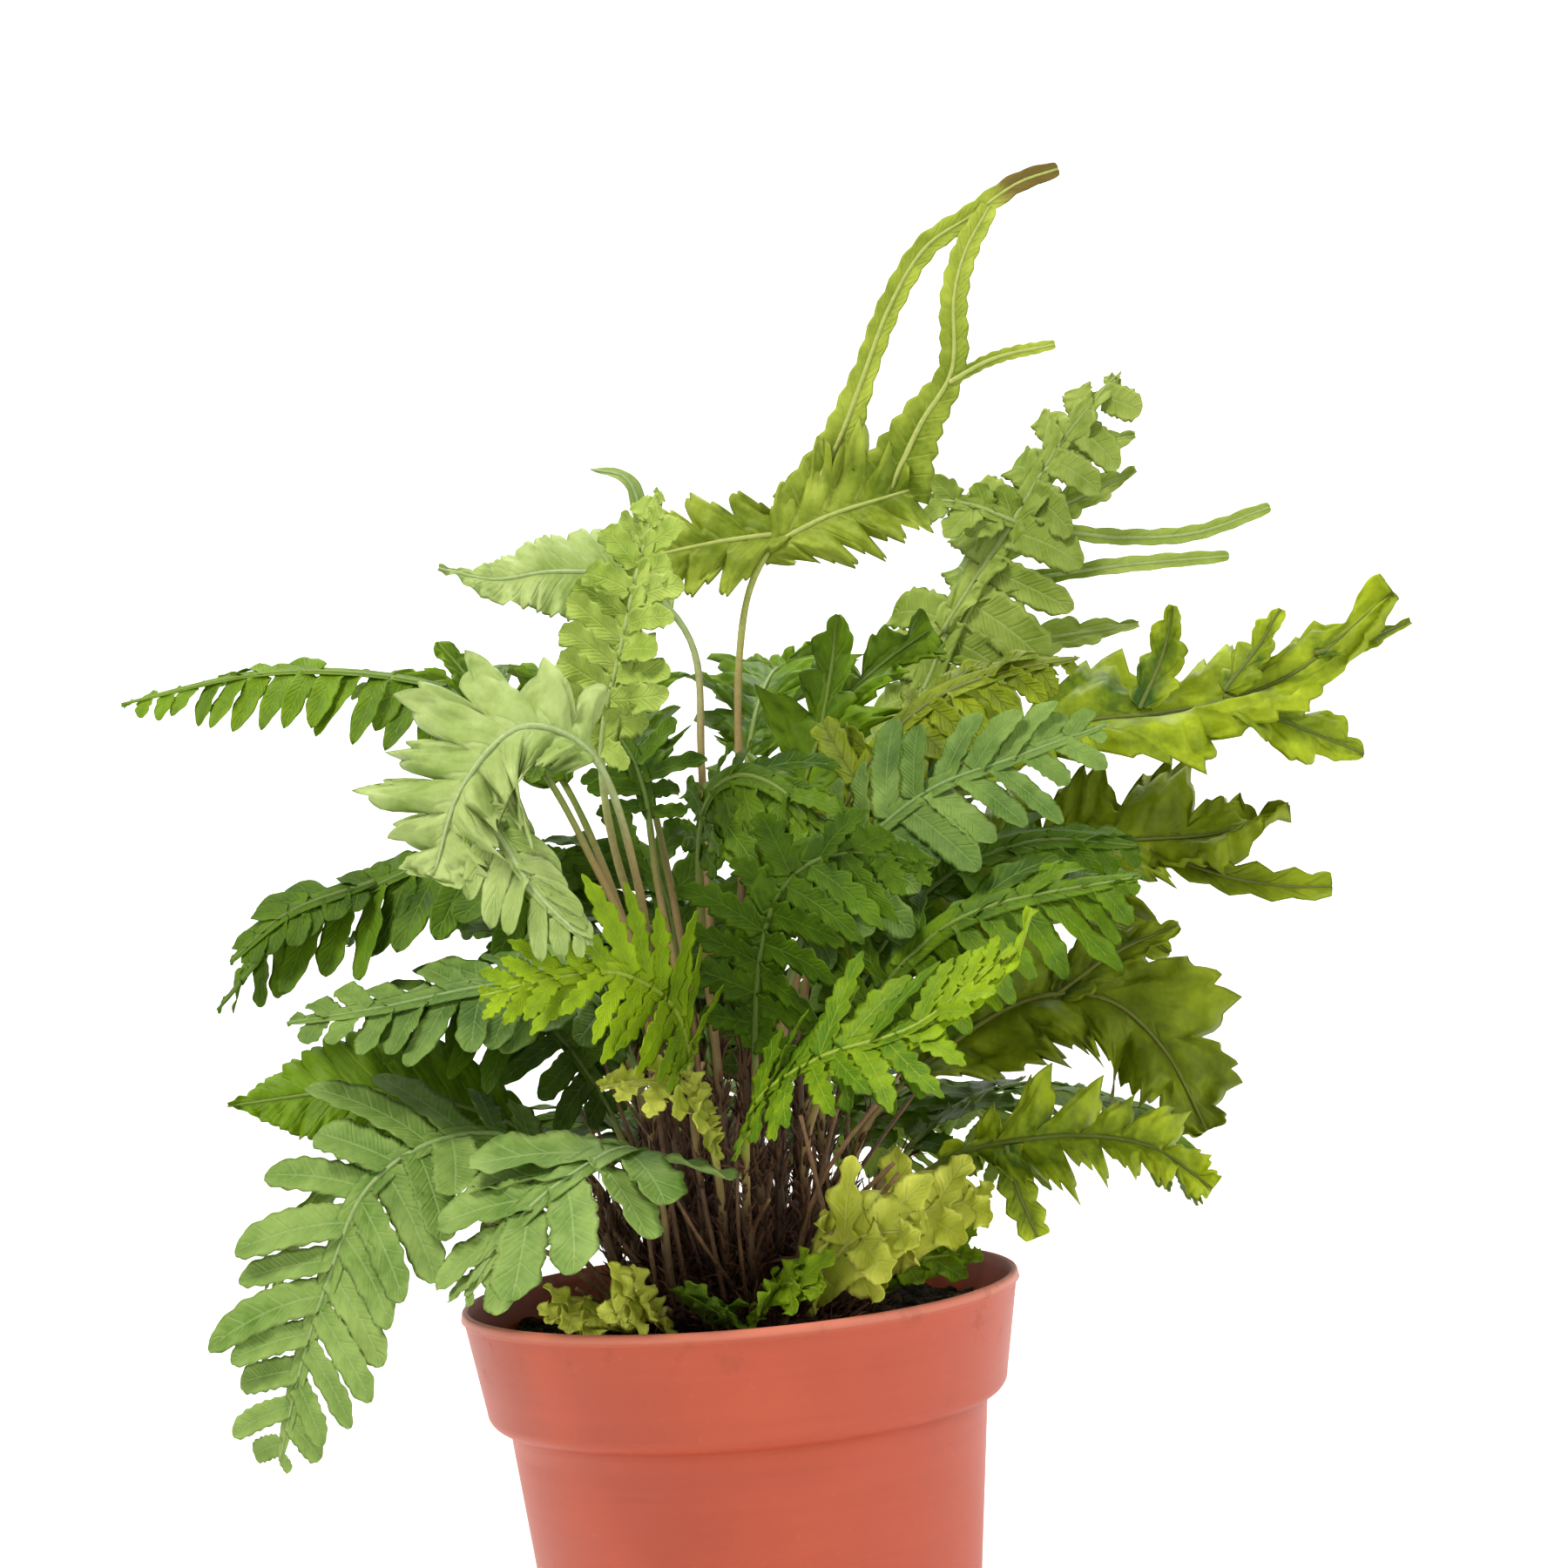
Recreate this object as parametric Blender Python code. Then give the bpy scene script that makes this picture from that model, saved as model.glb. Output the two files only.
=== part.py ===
"""Potted fern: a plastic pot, its potting mix, the crown, and one solid for each frond and young leaf.

The origin is the middle of the pot's foot, with +Z up and the fullest view of the plant from -Y.
Heights of the plant are measured from the pot's rim, so a taller pot carries the plant up with it.
"""

import math

import bmesh
import bpy
from mathutils import Vector

MM = 0.001

# Pot
POT_HEIGHT = 0.122
RIM_RADIUS = 0.070
RIM_BAND_HEIGHT = 0.030
BAND_TAPER = math.radians(10)
BAND_STEP = 0.0045
BASE_RADIUS = 0.050
POT_WALL = 0.0016
FLOOR_THICKNESS = 0.0022
LIP_HEIGHT = 0.0030
LIP_PROUD = 0.0008
FOOT_BEVEL = 0.0025
POT_SEGMENTS = 48
DRAIN_COUNT = 8
DRAIN_RADIUS = 0.0045
DRAIN_CIRCLE = 0.036

# Potting mix and crown
CLEARANCE = 0.0003
MIX_BELOW_RIM = 0.011
MIX_SEGMENTS = POT_SEGMENTS
CROWN_RADIUS = 0.031
CROWN_HEIGHT = 0.024
CROWN_RINGS = 5
CROWN_SEGMENTS = 28

# Fronds
STALK_RADIUS = 0.0012
ROOT_GAP = 0.0006
ROOT_LIFT = 0.007
MIDRIB_HALF = 0.0008
TIP_HALF = 0.0005
EDGE_DROOP = 0.16
LOBE_SWEEP = 0.30
STALK_STATIONS = 6

POT_COLOUR = (0.60, 0.12, 0.064)
MIX_COLOUR = (0.016, 0.011, 0.008)
CROWN_COLOUR = (0.070, 0.026, 0.013)
GREENS = {
    "deep": (0.026, 0.085, 0.012),
    "mid": (0.070, 0.200, 0.020),
    "fresh": (0.200, 0.400, 0.035),
    "pale": (0.330, 0.500, 0.150),
    "blue": (0.120, 0.290, 0.130),
    "olive": (0.130, 0.190, 0.020),
    "yellow": (0.450, 0.500, 0.060),
}


def rim(x, y, height):
    """A point of the plant: millimetres across, and millimetres above the pot's rim."""
    return Vector((x * MM, y * MM, POT_HEIGHT + height * MM))


def make_material(name, colour, roughness):
    material = bpy.data.materials.new(name)
    material.use_nodes = True
    shader = material.node_tree.nodes["Principled BSDF"]
    shader.inputs["Base Color"].default_value = (*colour, 1.0)
    shader.inputs["Roughness"].default_value = roughness
    shader.inputs["Metallic"].default_value = 0.0
    material.diffuse_color = (*colour, 1.0)
    return material


def add_object(name, mesh_data, material):
    """Puts a finished bmesh into the scene as one named object."""
    mesh = bpy.data.meshes.new(name)
    bmesh.ops.recalc_face_normals(mesh_data, faces=mesh_data.faces)
    mesh_data.to_mesh(mesh)
    mesh_data.free()
    mesh.materials.append(material)
    mesh.shade_smooth()
    mesh.set_sharp_from_angle(angle=math.radians(40))
    thing = bpy.data.objects.new(name, mesh)
    bpy.context.scene.collection.objects.link(thing)
    return thing


def turned(profile, segments):
    """Turns a profile of (radius, height) points once round Z, and closes it on the axis."""
    shape = bmesh.new()
    corners = [shape.verts.new((radius, 0.0, height)) for radius, height in profile]
    edges = [shape.edges.new(pair) for pair in zip(corners, corners[1:])]
    bmesh.ops.spin(shape, geom=corners + edges, cent=(0, 0, 0), axis=(0, 0, 1),
                   angle=math.tau, steps=segments)
    bmesh.ops.remove_doubles(shape, verts=shape.verts, dist=1e-6)
    return shape


# Pot: a tapering body, a step out to the rim band, and a small lip round its top
def pot_radius(height):
    """Outer radius of the pot's wall at a height, without the lip."""
    band_foot = POT_HEIGHT - RIM_BAND_HEIGHT
    band_foot_radius = RIM_RADIUS - RIM_BAND_HEIGHT * math.tan(BAND_TAPER)
    if height >= band_foot + BAND_STEP:
        return RIM_RADIUS - (POT_HEIGHT - height) * math.tan(BAND_TAPER)
    body_top_radius = band_foot_radius - BAND_STEP
    if height <= band_foot:
        return BASE_RADIUS + (body_top_radius - BASE_RADIUS) * height / band_foot
    rise = (height - band_foot) / BAND_STEP
    full = band_foot_radius + BAND_STEP * math.tan(BAND_TAPER)
    return body_top_radius + (full - body_top_radius) * math.sqrt(1 - (1 - rise) ** 2)


def wall_profile(inset, lowest, highest):
    """The wall's line from one height to another, set in from the outside by the same amount everywhere."""
    band_foot = POT_HEIGHT - RIM_BAND_HEIGHT
    step = [band_foot + BAND_STEP * share + inset for share in (0.0, 0.08, 0.3, 0.6, 1.0)]
    heights = [lowest] + [height for height in step if lowest < height < highest] + [highest]
    return [(pot_radius(height - inset) - inset, height) for height in heights]


def make_pot(material):
    lip_foot = POT_HEIGHT - LIP_HEIGHT
    outer = [(0.0, 0.0), (BASE_RADIUS - FOOT_BEVEL, 0.0), (BASE_RADIUS, FOOT_BEVEL)]
    outer += wall_profile(0.0, FOOT_BEVEL, lip_foot)[1:]
    lip = [
        (pot_radius(lip_foot) + LIP_PROUD, lip_foot + LIP_PROUD),
        (RIM_RADIUS, POT_HEIGHT - LIP_PROUD),
        (RIM_RADIUS - LIP_PROUD, POT_HEIGHT),
        (RIM_RADIUS - POT_WALL, POT_HEIGHT),
    ]
    inner = wall_profile(POT_WALL, FLOOR_THICKNESS, lip_foot)[::-1]
    shape = turned(outer + lip + inner + [(0.0, FLOOR_THICKNESS)], POT_SEGMENTS)
    pot = add_object("pot", shape, material)
    for number in range(DRAIN_COUNT):
        angle = math.tau * (number + 0.5) / DRAIN_COUNT
        cutter_shape = bmesh.new()
        bmesh.ops.create_cone(cutter_shape, cap_ends=True, segments=12, radius1=DRAIN_RADIUS,
                              radius2=DRAIN_RADIUS, depth=4 * FLOOR_THICKNESS)
        cutter = add_object(f"drain_cutter_{number + 1}", cutter_shape, material)
        cutter.location = (DRAIN_CIRCLE * math.cos(angle), DRAIN_CIRCLE * math.sin(angle),
                           FLOOR_THICKNESS / 2)
        cutter.hide_render = True
        cutter.display_type = "WIRE"
        drain = pot.modifiers.new(f"drain {number + 1}", "BOOLEAN")
        drain.operation = "DIFFERENCE"
        drain.solver = "EXACT"
        drain.object = cutter
    return pot


# Potting mix: fills the pot from its floor to a little below the rim
def mix_top():
    return POT_HEIGHT - MIX_BELOW_RIM


def make_mix(material):
    bottom = FLOOR_THICKNESS + CLEARANCE
    side = wall_profile(POT_WALL + CLEARANCE, bottom, mix_top())
    return add_object("potting_mix", turned([(0.0, bottom)] + side + [(0.0, mix_top())],
                                            MIX_SEGMENTS), material)


# Crown: the woody mound at the surface that every frond grows from
def crown_height(radius):
    """Height of the crown's dome above the potting mix at a distance from its middle."""
    return CROWN_HEIGHT * (1 - (radius / CROWN_RADIUS) ** 2)


def make_crown(material):
    foot = mix_top() + CLEARANCE
    radii = [CROWN_RADIUS * ring / CROWN_RINGS for ring in range(CROWN_RINGS + 1)]
    dome = [(radius, foot + crown_height(radius)) for radius in radii[::-1]]
    return add_object("crown", turned([(0.0, foot)] + dome, CROWN_SEGMENTS), material)


def root_on_crown(ring, azimuth):
    """(where a stalk starts, the direction square to the crown there)."""
    angle = math.radians(azimuth)
    radius = ring * MM
    slope = 2 * CROWN_HEIGHT * radius / CROWN_RADIUS**2
    square = Vector((slope * math.cos(angle), slope * math.sin(angle), 1.0)).normalized()
    surface = Vector((radius * math.cos(angle), radius * math.sin(angle),
                      mix_top() + CLEARANCE + crown_height(radius)))
    return surface + square * (ROOT_GAP + CLEARANCE), square


# Fronds
def smooth_line(points, steps=12):
    """Many points along the Catmull-Rom curve through the given ones."""
    padded = [2 * points[0] - points[1]] + points + [2 * points[-1] - points[-2]]
    line = []
    for a, b, c, d in zip(padded, padded[1:], padded[2:], padded[3:]):
        for step in range(steps):
            t = step / steps
            line.append(0.5 * (2 * b + (c - a) * t + (2 * a - 5 * b + 4 * c - d) * t**2
                               + (3 * b - a - 3 * c + d) * t**3))
    return line + [points[-1]]


def along(line, share):
    """(the point, the direction) at a share of the line's length."""
    lengths = [(b - a).length for a, b in zip(line, line[1:])]
    wanted = share * sum(lengths)
    for a, b, length in zip(line, line[1:], lengths):
        if wanted <= length:
            break
        wanted -= length
    return a.lerp(b, min(1.0, wanted / length)), (b - a).normalized()


def loft(stations):
    """One closed body through stations of four corners: left edge, top, right edge, underside."""
    shape = bmesh.new()
    rows = [[shape.verts.new(corner) for corner in station] for station in stations]
    for lower, upper in zip(rows, rows[1:]):
        for side in range(4):
            after = (side + 1) % 4
            shape.faces.new((lower[side], lower[after], upper[after], upper[side]))
    shape.faces.new(rows[0][::-1])
    shape.faces.new(rows[-1])
    return shape


def frames_along(line, shares, facing, middle):
    """(point, direction, up) at each share of the line.

    The upper face looks towards facing at the middle one, and from there it is carried both ways
    along the line without twisting.
    """
    places = [along(line, share) for share in shares]
    ups = [Vector(facing)] * len(places)
    order = [(middle, middle)]
    order += [(number, number - 1) for number in range(middle + 1, len(places))]
    order += [(number, number + 1) for number in range(middle - 1, -1, -1)]
    for number, before in order:
        direction = places[number][1]
        ups[number] = (ups[before] - direction * ups[before].dot(direction)).normalized()
    return [(point, direction, up) for (point, direction), up in zip(places, ups)]


def station(frame, half_width, half_depth, droop, sweep):
    """Four corners round a point: the edges hang below the midrib and lean towards the tip."""
    point, direction, up = frame
    across = direction.cross(up)
    edge = point - up * (half_width * droop) + direction * (half_width * sweep)
    return [edge - across * half_width, point + up * half_depth,
            edge + across * half_width, point - up * half_depth]


def frond_shape(points, facing, width, lobes, notch, blade_from, widest):
    """A stalk that opens into a lobed blade.

    The blade's half width is width * sin(pi * u**q)**0.7 at a share u of its length, with q set so that
    it is widest at the share given. Every second station is a notch between two lobes.
    """
    power = math.log(0.5) / math.log(widest)
    count = 2 * lobes
    stalk_count = STALK_STATIONS if blade_from > 0 else 0
    shares = [blade_from * number / STALK_STATIONS for number in range(stalk_count)]
    shares += [blade_from + (1 - blade_from) * number / count for number in range(count + 1)]
    frames = frames_along(smooth_line(points), shares, facing, stalk_count + round(widest * count))
    stations = [station(frame, STALK_RADIUS, STALK_RADIUS, 0.0, 0.0) for frame in frames[:stalk_count]]
    for number, frame in enumerate(frames[stalk_count:]):
        u = number / count
        full = width * MM * math.sin(math.pi * u**power) ** 0.7 if 0 < number < count else 0.0
        lobe = 1.0 if number % 2 else 1.0 - notch
        half_width = max(full * lobe, STALK_RADIUS if number == 0 else TIP_HALF)
        half_depth = MIDRIB_HALF + (TIP_HALF - MIDRIB_HALF) * u
        sweep = LOBE_SWEEP if 0 < number < count - 1 else 0.0
        stations.append(station(frame, half_width, half_depth, EDGE_DROOP, sweep))
    return loft(stations)


def make_frond(name, root, route, facing, width, lobes, material, notch=0.5, blade_from=0.4,
               widest=0.35, arms=()):
    """One frond; its arms are further blades that branch off it and are joined into the same body."""
    start, square = root_on_crown(*root)
    points = [start, start + square * ROOT_LIFT] + [rim(*place) for place in route]
    shape = frond_shape(points, facing, width, lobes, notch, blade_from, widest)
    frond = add_object(name, shape, material)
    for number, (arm_route, arm_width, arm_lobes) in enumerate(arms):
        arm_points = [rim(*place) for place in arm_route]
        shape = frond_shape(arm_points, facing, arm_width, arm_lobes, 0.3, 0.0, 0.4)
        arm = add_object(f"{name}_arm_{number + 1}", shape, material)
        arm.hide_render = True
        arm.display_type = "WIRE"
        join = frond.modifiers.new(f"arm {number + 1}", "BOOLEAN")
        join.operation = "UNION"
        join.solver = "EXACT"
        join.object = arm
    return frond


# Each frond: the place of its root (millimetres from the crown's middle, and azimuth), the points
# that its midrib passes (millimetres across, and above the rim), the way its upper face looks, its
# half width in millimetres, its number of lobes, and its green.
FRONDS = [
    dict(name="antler_frond", root=(4, 0), tone="olive", facing=(0.1, -1, 0.25), width=13, lobes=9,
         route=[(6, 0, 60), (9, 0, 110), (12, 0, 156), (19, -1, 180), (34, -3, 190), (58, -4, 196)],
         blade_from=0.70, notch=0.35, widest=0.5,
         arms=[([(30, -1, 192), (39, 1, 209), (48, 2, 226), (57, 2, 243), (66, 2, 257), (76, 2, 264),
                 (90, 0, 270), (102, 0, 274)], 4.0, 9),
               ([(56, -3, 195), (66, -4, 213), (71, -4, 226), (73, -4, 243), (77, -2, 255),
                 (82, 1, 266)], 4.2, 8),
               ([(70, -4, 223), (82, -6, 228), (97, -8, 230)], 2.0, 4),
               ([(22, -1, 184), (6, -2, 183), (-15, -2, 184)], 8.0, 4)]),
    dict(name="pale_upper_frond", root=(9, 100), tone="pale", facing=(0.3, -0.9, 0.6), width=14,
         lobes=8, blade_from=0.66,
         route=[(-1, 20, 80), (0, 32, 130), (0, 40, 166), (-14, 37, 186), (-34, 32, 190),
                (-62, 27, 187)]),
    dict(name="bright_folded_frond", root=(10, 232), tone="fresh", facing=(-0.6, -0.8, 0.2), width=13,
         lobes=9, blade_from=0.60,
         route=[(-12, -18, 70), (-21, -30, 110), (-22, -40, 137), (-15, -45, 161), (-9, -46, 181),
                (-3, -44, 197)]),
    dict(name="broad_pale_frond", root=(14, 236), tone="pale", facing=(-0.2, -1, 0.5), width=21,
         lobes=6, blade_from=0.60, notch=0.55,
         route=[(-13, -34, 62), (-15, -54, 104), (-22, -66, 134), (-38, -72, 143), (-53, -73, 130),
                (-61, -74, 110)],
         arms=[([(-50, -73, 128), (-38, -80, 106), (-26, -81, 92)], 6, 4)]),
    dict(name="left_upper_frond", root=(12, 175), tone="mid", facing=(0, -0.5, 1), width=11, lobes=11,
         route=[(-16, 4, 70), (-30, 9, 112), (-43, 10, 137), (-60, 8, 151), (-82, 6, 157),
                (-110, 2, 159), (-143, -4, 156)]),
    dict(name="left_forked_frond", root=(17, 186), tone="deep", facing=(0, -0.6, 1), width=10,
         lobes=9,
         route=[(-21, -2, 50), (-35, -5, 86), (-48, -8, 106), (-66, -10, 113), (-84, -12, 109),
                (-105, -12, 100), (-122, -10, 82)],
         arms=[([(-82, -12, 109), (-103, -19, 103), (-118, -21, 92)], 5, 4)]),
    dict(name="left_level_frond", root=(19, 214), tone="pale", facing=(0, -0.7, 1), width=12, lobes=9,
         route=[(-18, -18, 40), (-24, -30, 70), (-36, -36, 82), (-56, -38, 82), (-80, -38, 79),
                (-103, -36, 77)]),
    dict(name="left_pointed_frond", root=(23, 188), tone="mid", facing=(0.1, -0.9, 0.6), width=16,
         lobes=6, notch=0.25,
         route=[(-33, -6, 28), (-50, -9, 44), (-71, -14, 54), (-92, -18, 58), (-121, -22, 57)]),
    dict(name="left_drooping_frond", root=(25, 210), tone="blue", facing=(-0.5, -0.9, 0.4), width=20,
         lobes=10, notch=0.6,
         route=[(-36, -22, 30), (-52, -32, 45), (-70, -42, 46), (-86, -48, 36), (-96, -50, 16),
                (-104, -50, -4), (-111, -48, -26)]),
    dict(name="front_rounded_frond", root=(24, 238), tone="blue", facing=(-0.2, -0.8, 0.8), width=18,
         lobes=7, notch=0.45,
         route=[(-17, -32, 30), (-22, -52, 42), (-33, -70, 40), (-47, -80, 31), (-60, -86, 15)]),
    dict(name="front_lacy_frond", root=(18, 254), tone="fresh", facing=(0, -0.6, 1), width=10,
         lobes=8,
         route=[(-7, -34, 46), (-8, -54, 72), (-19, -72, 84), (-34, -77, 85), (-52, -78, 82)]),
    dict(name="front_fan_frond", root=(22, 278), tone="fresh", facing=(-0.2, -0.8, 0.9), width=13,
         lobes=9,
         route=[(4, -36, 28), (8, -60, 50), (24, -80, 62), (47, -91, 69), (69, -96, 85)]),
    dict(name="front_blue_frond", root=(15, 304), tone="blue", facing=(0, -0.8, 0.8), width=14,
         lobes=8,
         route=[(16, -24, 70), (34, -34, 106), (58, -42, 122), (84, -48, 127), (110, -50, 130)]),
    dict(name="right_lobed_frond", root=(12, 18), tone="fresh", facing=(-0.2, -0.8, 0.8), width=22,
         lobes=7, notch=0.45,
         route=[(24, 7, 80), (46, 12, 110), (70, 17, 128), (98, 21, 138), (126, 23, 140),
                (154, 22, 146), (182, 18, 163)]),
    dict(name="right_upper_frond", root=(9, 52), tone="mid", facing=(-0.6, -0.8, 0.4), width=12,
         lobes=9,
         route=[(22, 24, 80), (44, 42, 122), (60, 50, 147), (72, 48, 168), (89, 44, 188),
                (106, 40, 207), (121, 36, 221)],
         arms=[([(91, 42, 190), (112, 38, 187), (131, 34, 186), (153, 30, 188)], 2.5, 6),
               ([(76, 46, 173), (94, 39, 176), (114, 33, 176), (141, 28, 176)], 2.5, 6),
               ([(90, 43, 188), (76, 45, 195), (61, 46, 198)], 6.0, 4)]),
    dict(name="right_olive_frond", root=(17, 34), tone="olive", facing=(-0.2, -0.8, 0.6), width=19,
         lobes=7, notch=0.4,
         route=[(34, 18, 54), (58, 27, 82), (80, 33, 98), (106, 37, 104), (132, 39, 104),
                (155, 39, 107)],
         arms=[([(126, 39, 104), (144, 36, 93), (161, 34, 90)], 4, 4)]),
    dict(name="right_blade_frond", root=(21, 4), tone="deep", facing=(-0.3, -0.8, 0.5), width=21,
         lobes=6, notch=0.25,
         route=[(34, 2, 36), (56, 2, 54), (78, 0, 63), (100, -4, 62), (115, -8, 50), (126, -12, 32)]),
    dict(name="right_crinkled_frond", root=(25, 338), tone="mid", facing=(-0.2, -0.9, 0.6), width=13,
         lobes=7, notch=0.5,
         route=[(37, -12, 18), (54, -20, 30), (72, -27, 34), (90, -32, 34), (104, -36, 30),
                (116, -39, 20)],
         arms=[([(68, -27, 33), (70, -28, 22), (74, -27, 10)], 4, 3)]),
    dict(name="back_left_dark_frond", root=(14, 127), tone="deep", facing=(0.2, -0.8, 0.8), width=14,
         lobes=7,
         route=[(-10, 28, 62), (-12, 42, 96), (-20, 48, 110), (-34, 51, 111), (-51, 52, 106)]),
    dict(name="middle_high_frond", root=(9, 12), tone="mid", facing=(-0.3, -0.6, 0.8), width=11,
         lobes=7,
         route=[(14, 4, 70), (22, 8, 110), (32, 10, 138), (46, 12, 152), (62, 14, 162)]),
    dict(name="middle_front_frond", root=(17, 288), tone="deep", facing=(0, -0.8, 0.6), width=14,
         lobes=8,
         route=[(8, -28, 50), (12, -46, 84), (20, -58, 102), (34, -66, 108), (54, -70, 104)]),
    dict(name="middle_right_frond", root=(10, 332), tone="mid", facing=(-0.1, -0.5, 0.9), width=12,
         lobes=8,
         route=[(16, -8, 64), (28, -12, 102), (42, -15, 128), (58, -18, 142), (76, -21, 148),
                (95, -24, 150)]),
    dict(name="middle_left_frond", root=(8, 142), tone="deep", facing=(0.3, -0.6, 0.8), width=12,
         lobes=7,
         route=[(-8, 9, 60), (-13, 15, 100), (-15, 17, 126), (-21, 19, 141), (-33, 21, 148)]),
    dict(name="front_right_frond", root=(20, 312), tone="mid", facing=(0, -0.7, 0.8), width=12,
         lobes=8,
         route=[(20, -28, 40), (34, -42, 66), (50, -52, 84), (68, -60, 92), (96, -66, 92)]),
    dict(name="middle_hanging_frond", root=(13, 268), tone="mid", facing=(0.2, -0.7, 0.7), width=11,
         lobes=7,
         route=[(-1, -18, 60), (-2, -24, 96), (1, -30, 120), (10, -37, 128), (22, -44, 122),
                (31, -50, 106)]),
    dict(name="left_inner_frond", root=(20, 196), tone="deep", facing=(0, -0.6, 1), width=10, lobes=7,
         route=[(-25, -8, 36), (-36, -14, 62), (-50, -19, 75), (-68, -22, 77), (-88, -24, 70)]),
    dict(name="right_inner_frond", root=(18, 352), tone="deep", facing=(0, -0.7, 0.8), width=11,
         lobes=7,
         route=[(25, -4, 48), (42, -7, 82), (60, -9, 99), (82, -11, 106), (107, -13, 103)]),
    dict(name="front_pale_frond", root=(20, 266), tone="yellow", facing=(0, -0.8, 0.8), width=6,
         lobes=5,
         route=[(-2, -32, 30), (-4, -46, 48), (-11, -58, 57), (-27, -65, 58)]),
]

# Young leaves low round the crown. Their points are an azimuth, a share of the way from the crown's
# edge to the pot's mouth, and a height above the rim.
YOUNG = [
    dict(name="young_leaf_1", root=(27, 300), tone="yellow", facing=(0, -0.8, 0.8), width=8,
         route=[(298, 0.32, 6), (302, 0.68, 16), (308, 1.07, 18)]),
    dict(name="young_leaf_2", root=(27, 324), tone="yellow", facing=(0, -0.8, 0.6), width=9,
         route=[(321, 0.27, 8), (323, 0.64, 18), (328, 1.07, 22)]),
    dict(name="young_leaf_3", root=(28, 346), tone="fresh", facing=(0, -0.7, 0.9), width=7,
         route=[(344, 0.17, 1), (343, 0.46, 5), (343, 0.79, 6)]),
    dict(name="young_leaf_4", root=(27, 276), tone="fresh", facing=(0, -0.7, 0.9), width=7,
         route=[(279, 0.20, 0), (284, 0.44, 6), (290, 0.76, 6)]),
    dict(name="young_leaf_5", root=(28, 256), tone="mid", facing=(0, -0.6, 1), width=6,
         route=[(261, 0.17, -3), (261, 0.39, 2), (266, 0.64, 2)]),
    dict(name="young_leaf_6", root=(27, 238), tone="yellow", facing=(0, -0.7, 0.9), width=7,
         route=[(241, 0.23, -1), (241, 0.49, 6), (243, 0.80, 3)]),
    dict(name="young_leaf_7", root=(28, 220), tone="yellow", facing=(0, -0.6, 1), width=6,
         route=[(223, 0.23, -3), (223, 0.50, 1), (224, 0.85, 2)]),
]

# The back of the plant is three tiers: the azimuths, the ring on the crown that they grow from, and
# the distance from the middle and height above the rim along one frond of the tier. Each frond
# reaches a little further or less far than its neighbour, and bends a little to one side.
BACK_TIERS = {
    "back_low": dict(azimuths=(20, 44, 69, 96, 123, 149, 173), ring=24, width=15, lobes=7,
                     tone="mid", arc=[(36, 20), (58, 38), (82, 42), (104, 30), (120, 6)]),
    "back_mid": dict(azimuths=(45, 71, 98, 125, 151), ring=18, width=12, lobes=8, tone="deep",
                     arc=[(26, 40), (44, 76), (66, 96), (92, 101), (118, 92)]),
    "back_high": dict(azimuths=(76, 110, 148), ring=13, width=11, lobes=8, tone="mid",
                      arc=[(19, 60), (34, 110), (52, 140), (78, 156), (106, 158)]),
}
BACK_REACH_CHANGE = 0.09
BACK_BEND = 5.0


def mouth(azimuth, share, height):
    """A point between the crown's edge and the pot's mouth, as rim() takes it."""
    inside = RIM_RADIUS - POT_WALL
    out = (CROWN_RADIUS + (inside - CROWN_RADIUS) * share) / MM
    angle = math.radians(azimuth)
    return out * math.cos(angle), out * math.sin(angle), height


def make_back_fronds(materials):
    for tier, plan in BACK_TIERS.items():
        for number, azimuth in enumerate(plan["azimuths"]):
            reach = 1 + BACK_REACH_CHANGE * math.sin(2.4 * number + 1)
            bend = BACK_BEND * math.sin(1.9 * number)
            longest = plan["arc"][-1][0]
            route = []
            for out, height in plan["arc"]:
                angle = math.radians(azimuth + bend * (out / longest) ** 2)
                route.append((reach * out * math.cos(angle), reach * out * math.sin(angle), height))
            angle = math.radians(azimuth)
            make_frond(f"{tier}_frond_{number + 1}", (plan["ring"], azimuth), route,
                       (0.3 * math.cos(angle), 0.3 * math.sin(angle), 1.0), plan["width"],
                       plan["lobes"], materials[plan["tone"]])


def build():
    for thing in list(bpy.data.objects):
        bpy.data.objects.remove(thing, do_unlink=True)
    make_pot(make_material("terracotta plastic", POT_COLOUR, 0.5))
    make_mix(make_material("potting mix", MIX_COLOUR, 0.95))
    make_crown(make_material("crown", CROWN_COLOUR, 0.85))
    leaves = {tone: make_material(f"{tone} leaf", colour, 0.5) for tone, colour in GREENS.items()}
    for plan in FRONDS:
        rest = {key: value for key, value in plan.items() if key != "tone"}
        make_frond(material=leaves[plan["tone"]], **rest)
    for plan in YOUNG:
        rest = {key: value for key, value in plan.items() if key not in ("tone", "route")}
        make_frond(material=leaves[plan["tone"]], lobes=5, blade_from=0.3, widest=0.6,
                   route=[mouth(*place) for place in plan["route"]], **rest)
    make_back_fronds(leaves)


build()
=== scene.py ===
import math

import bpy
import numpy as np
from mathutils import Matrix, Vector


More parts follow.
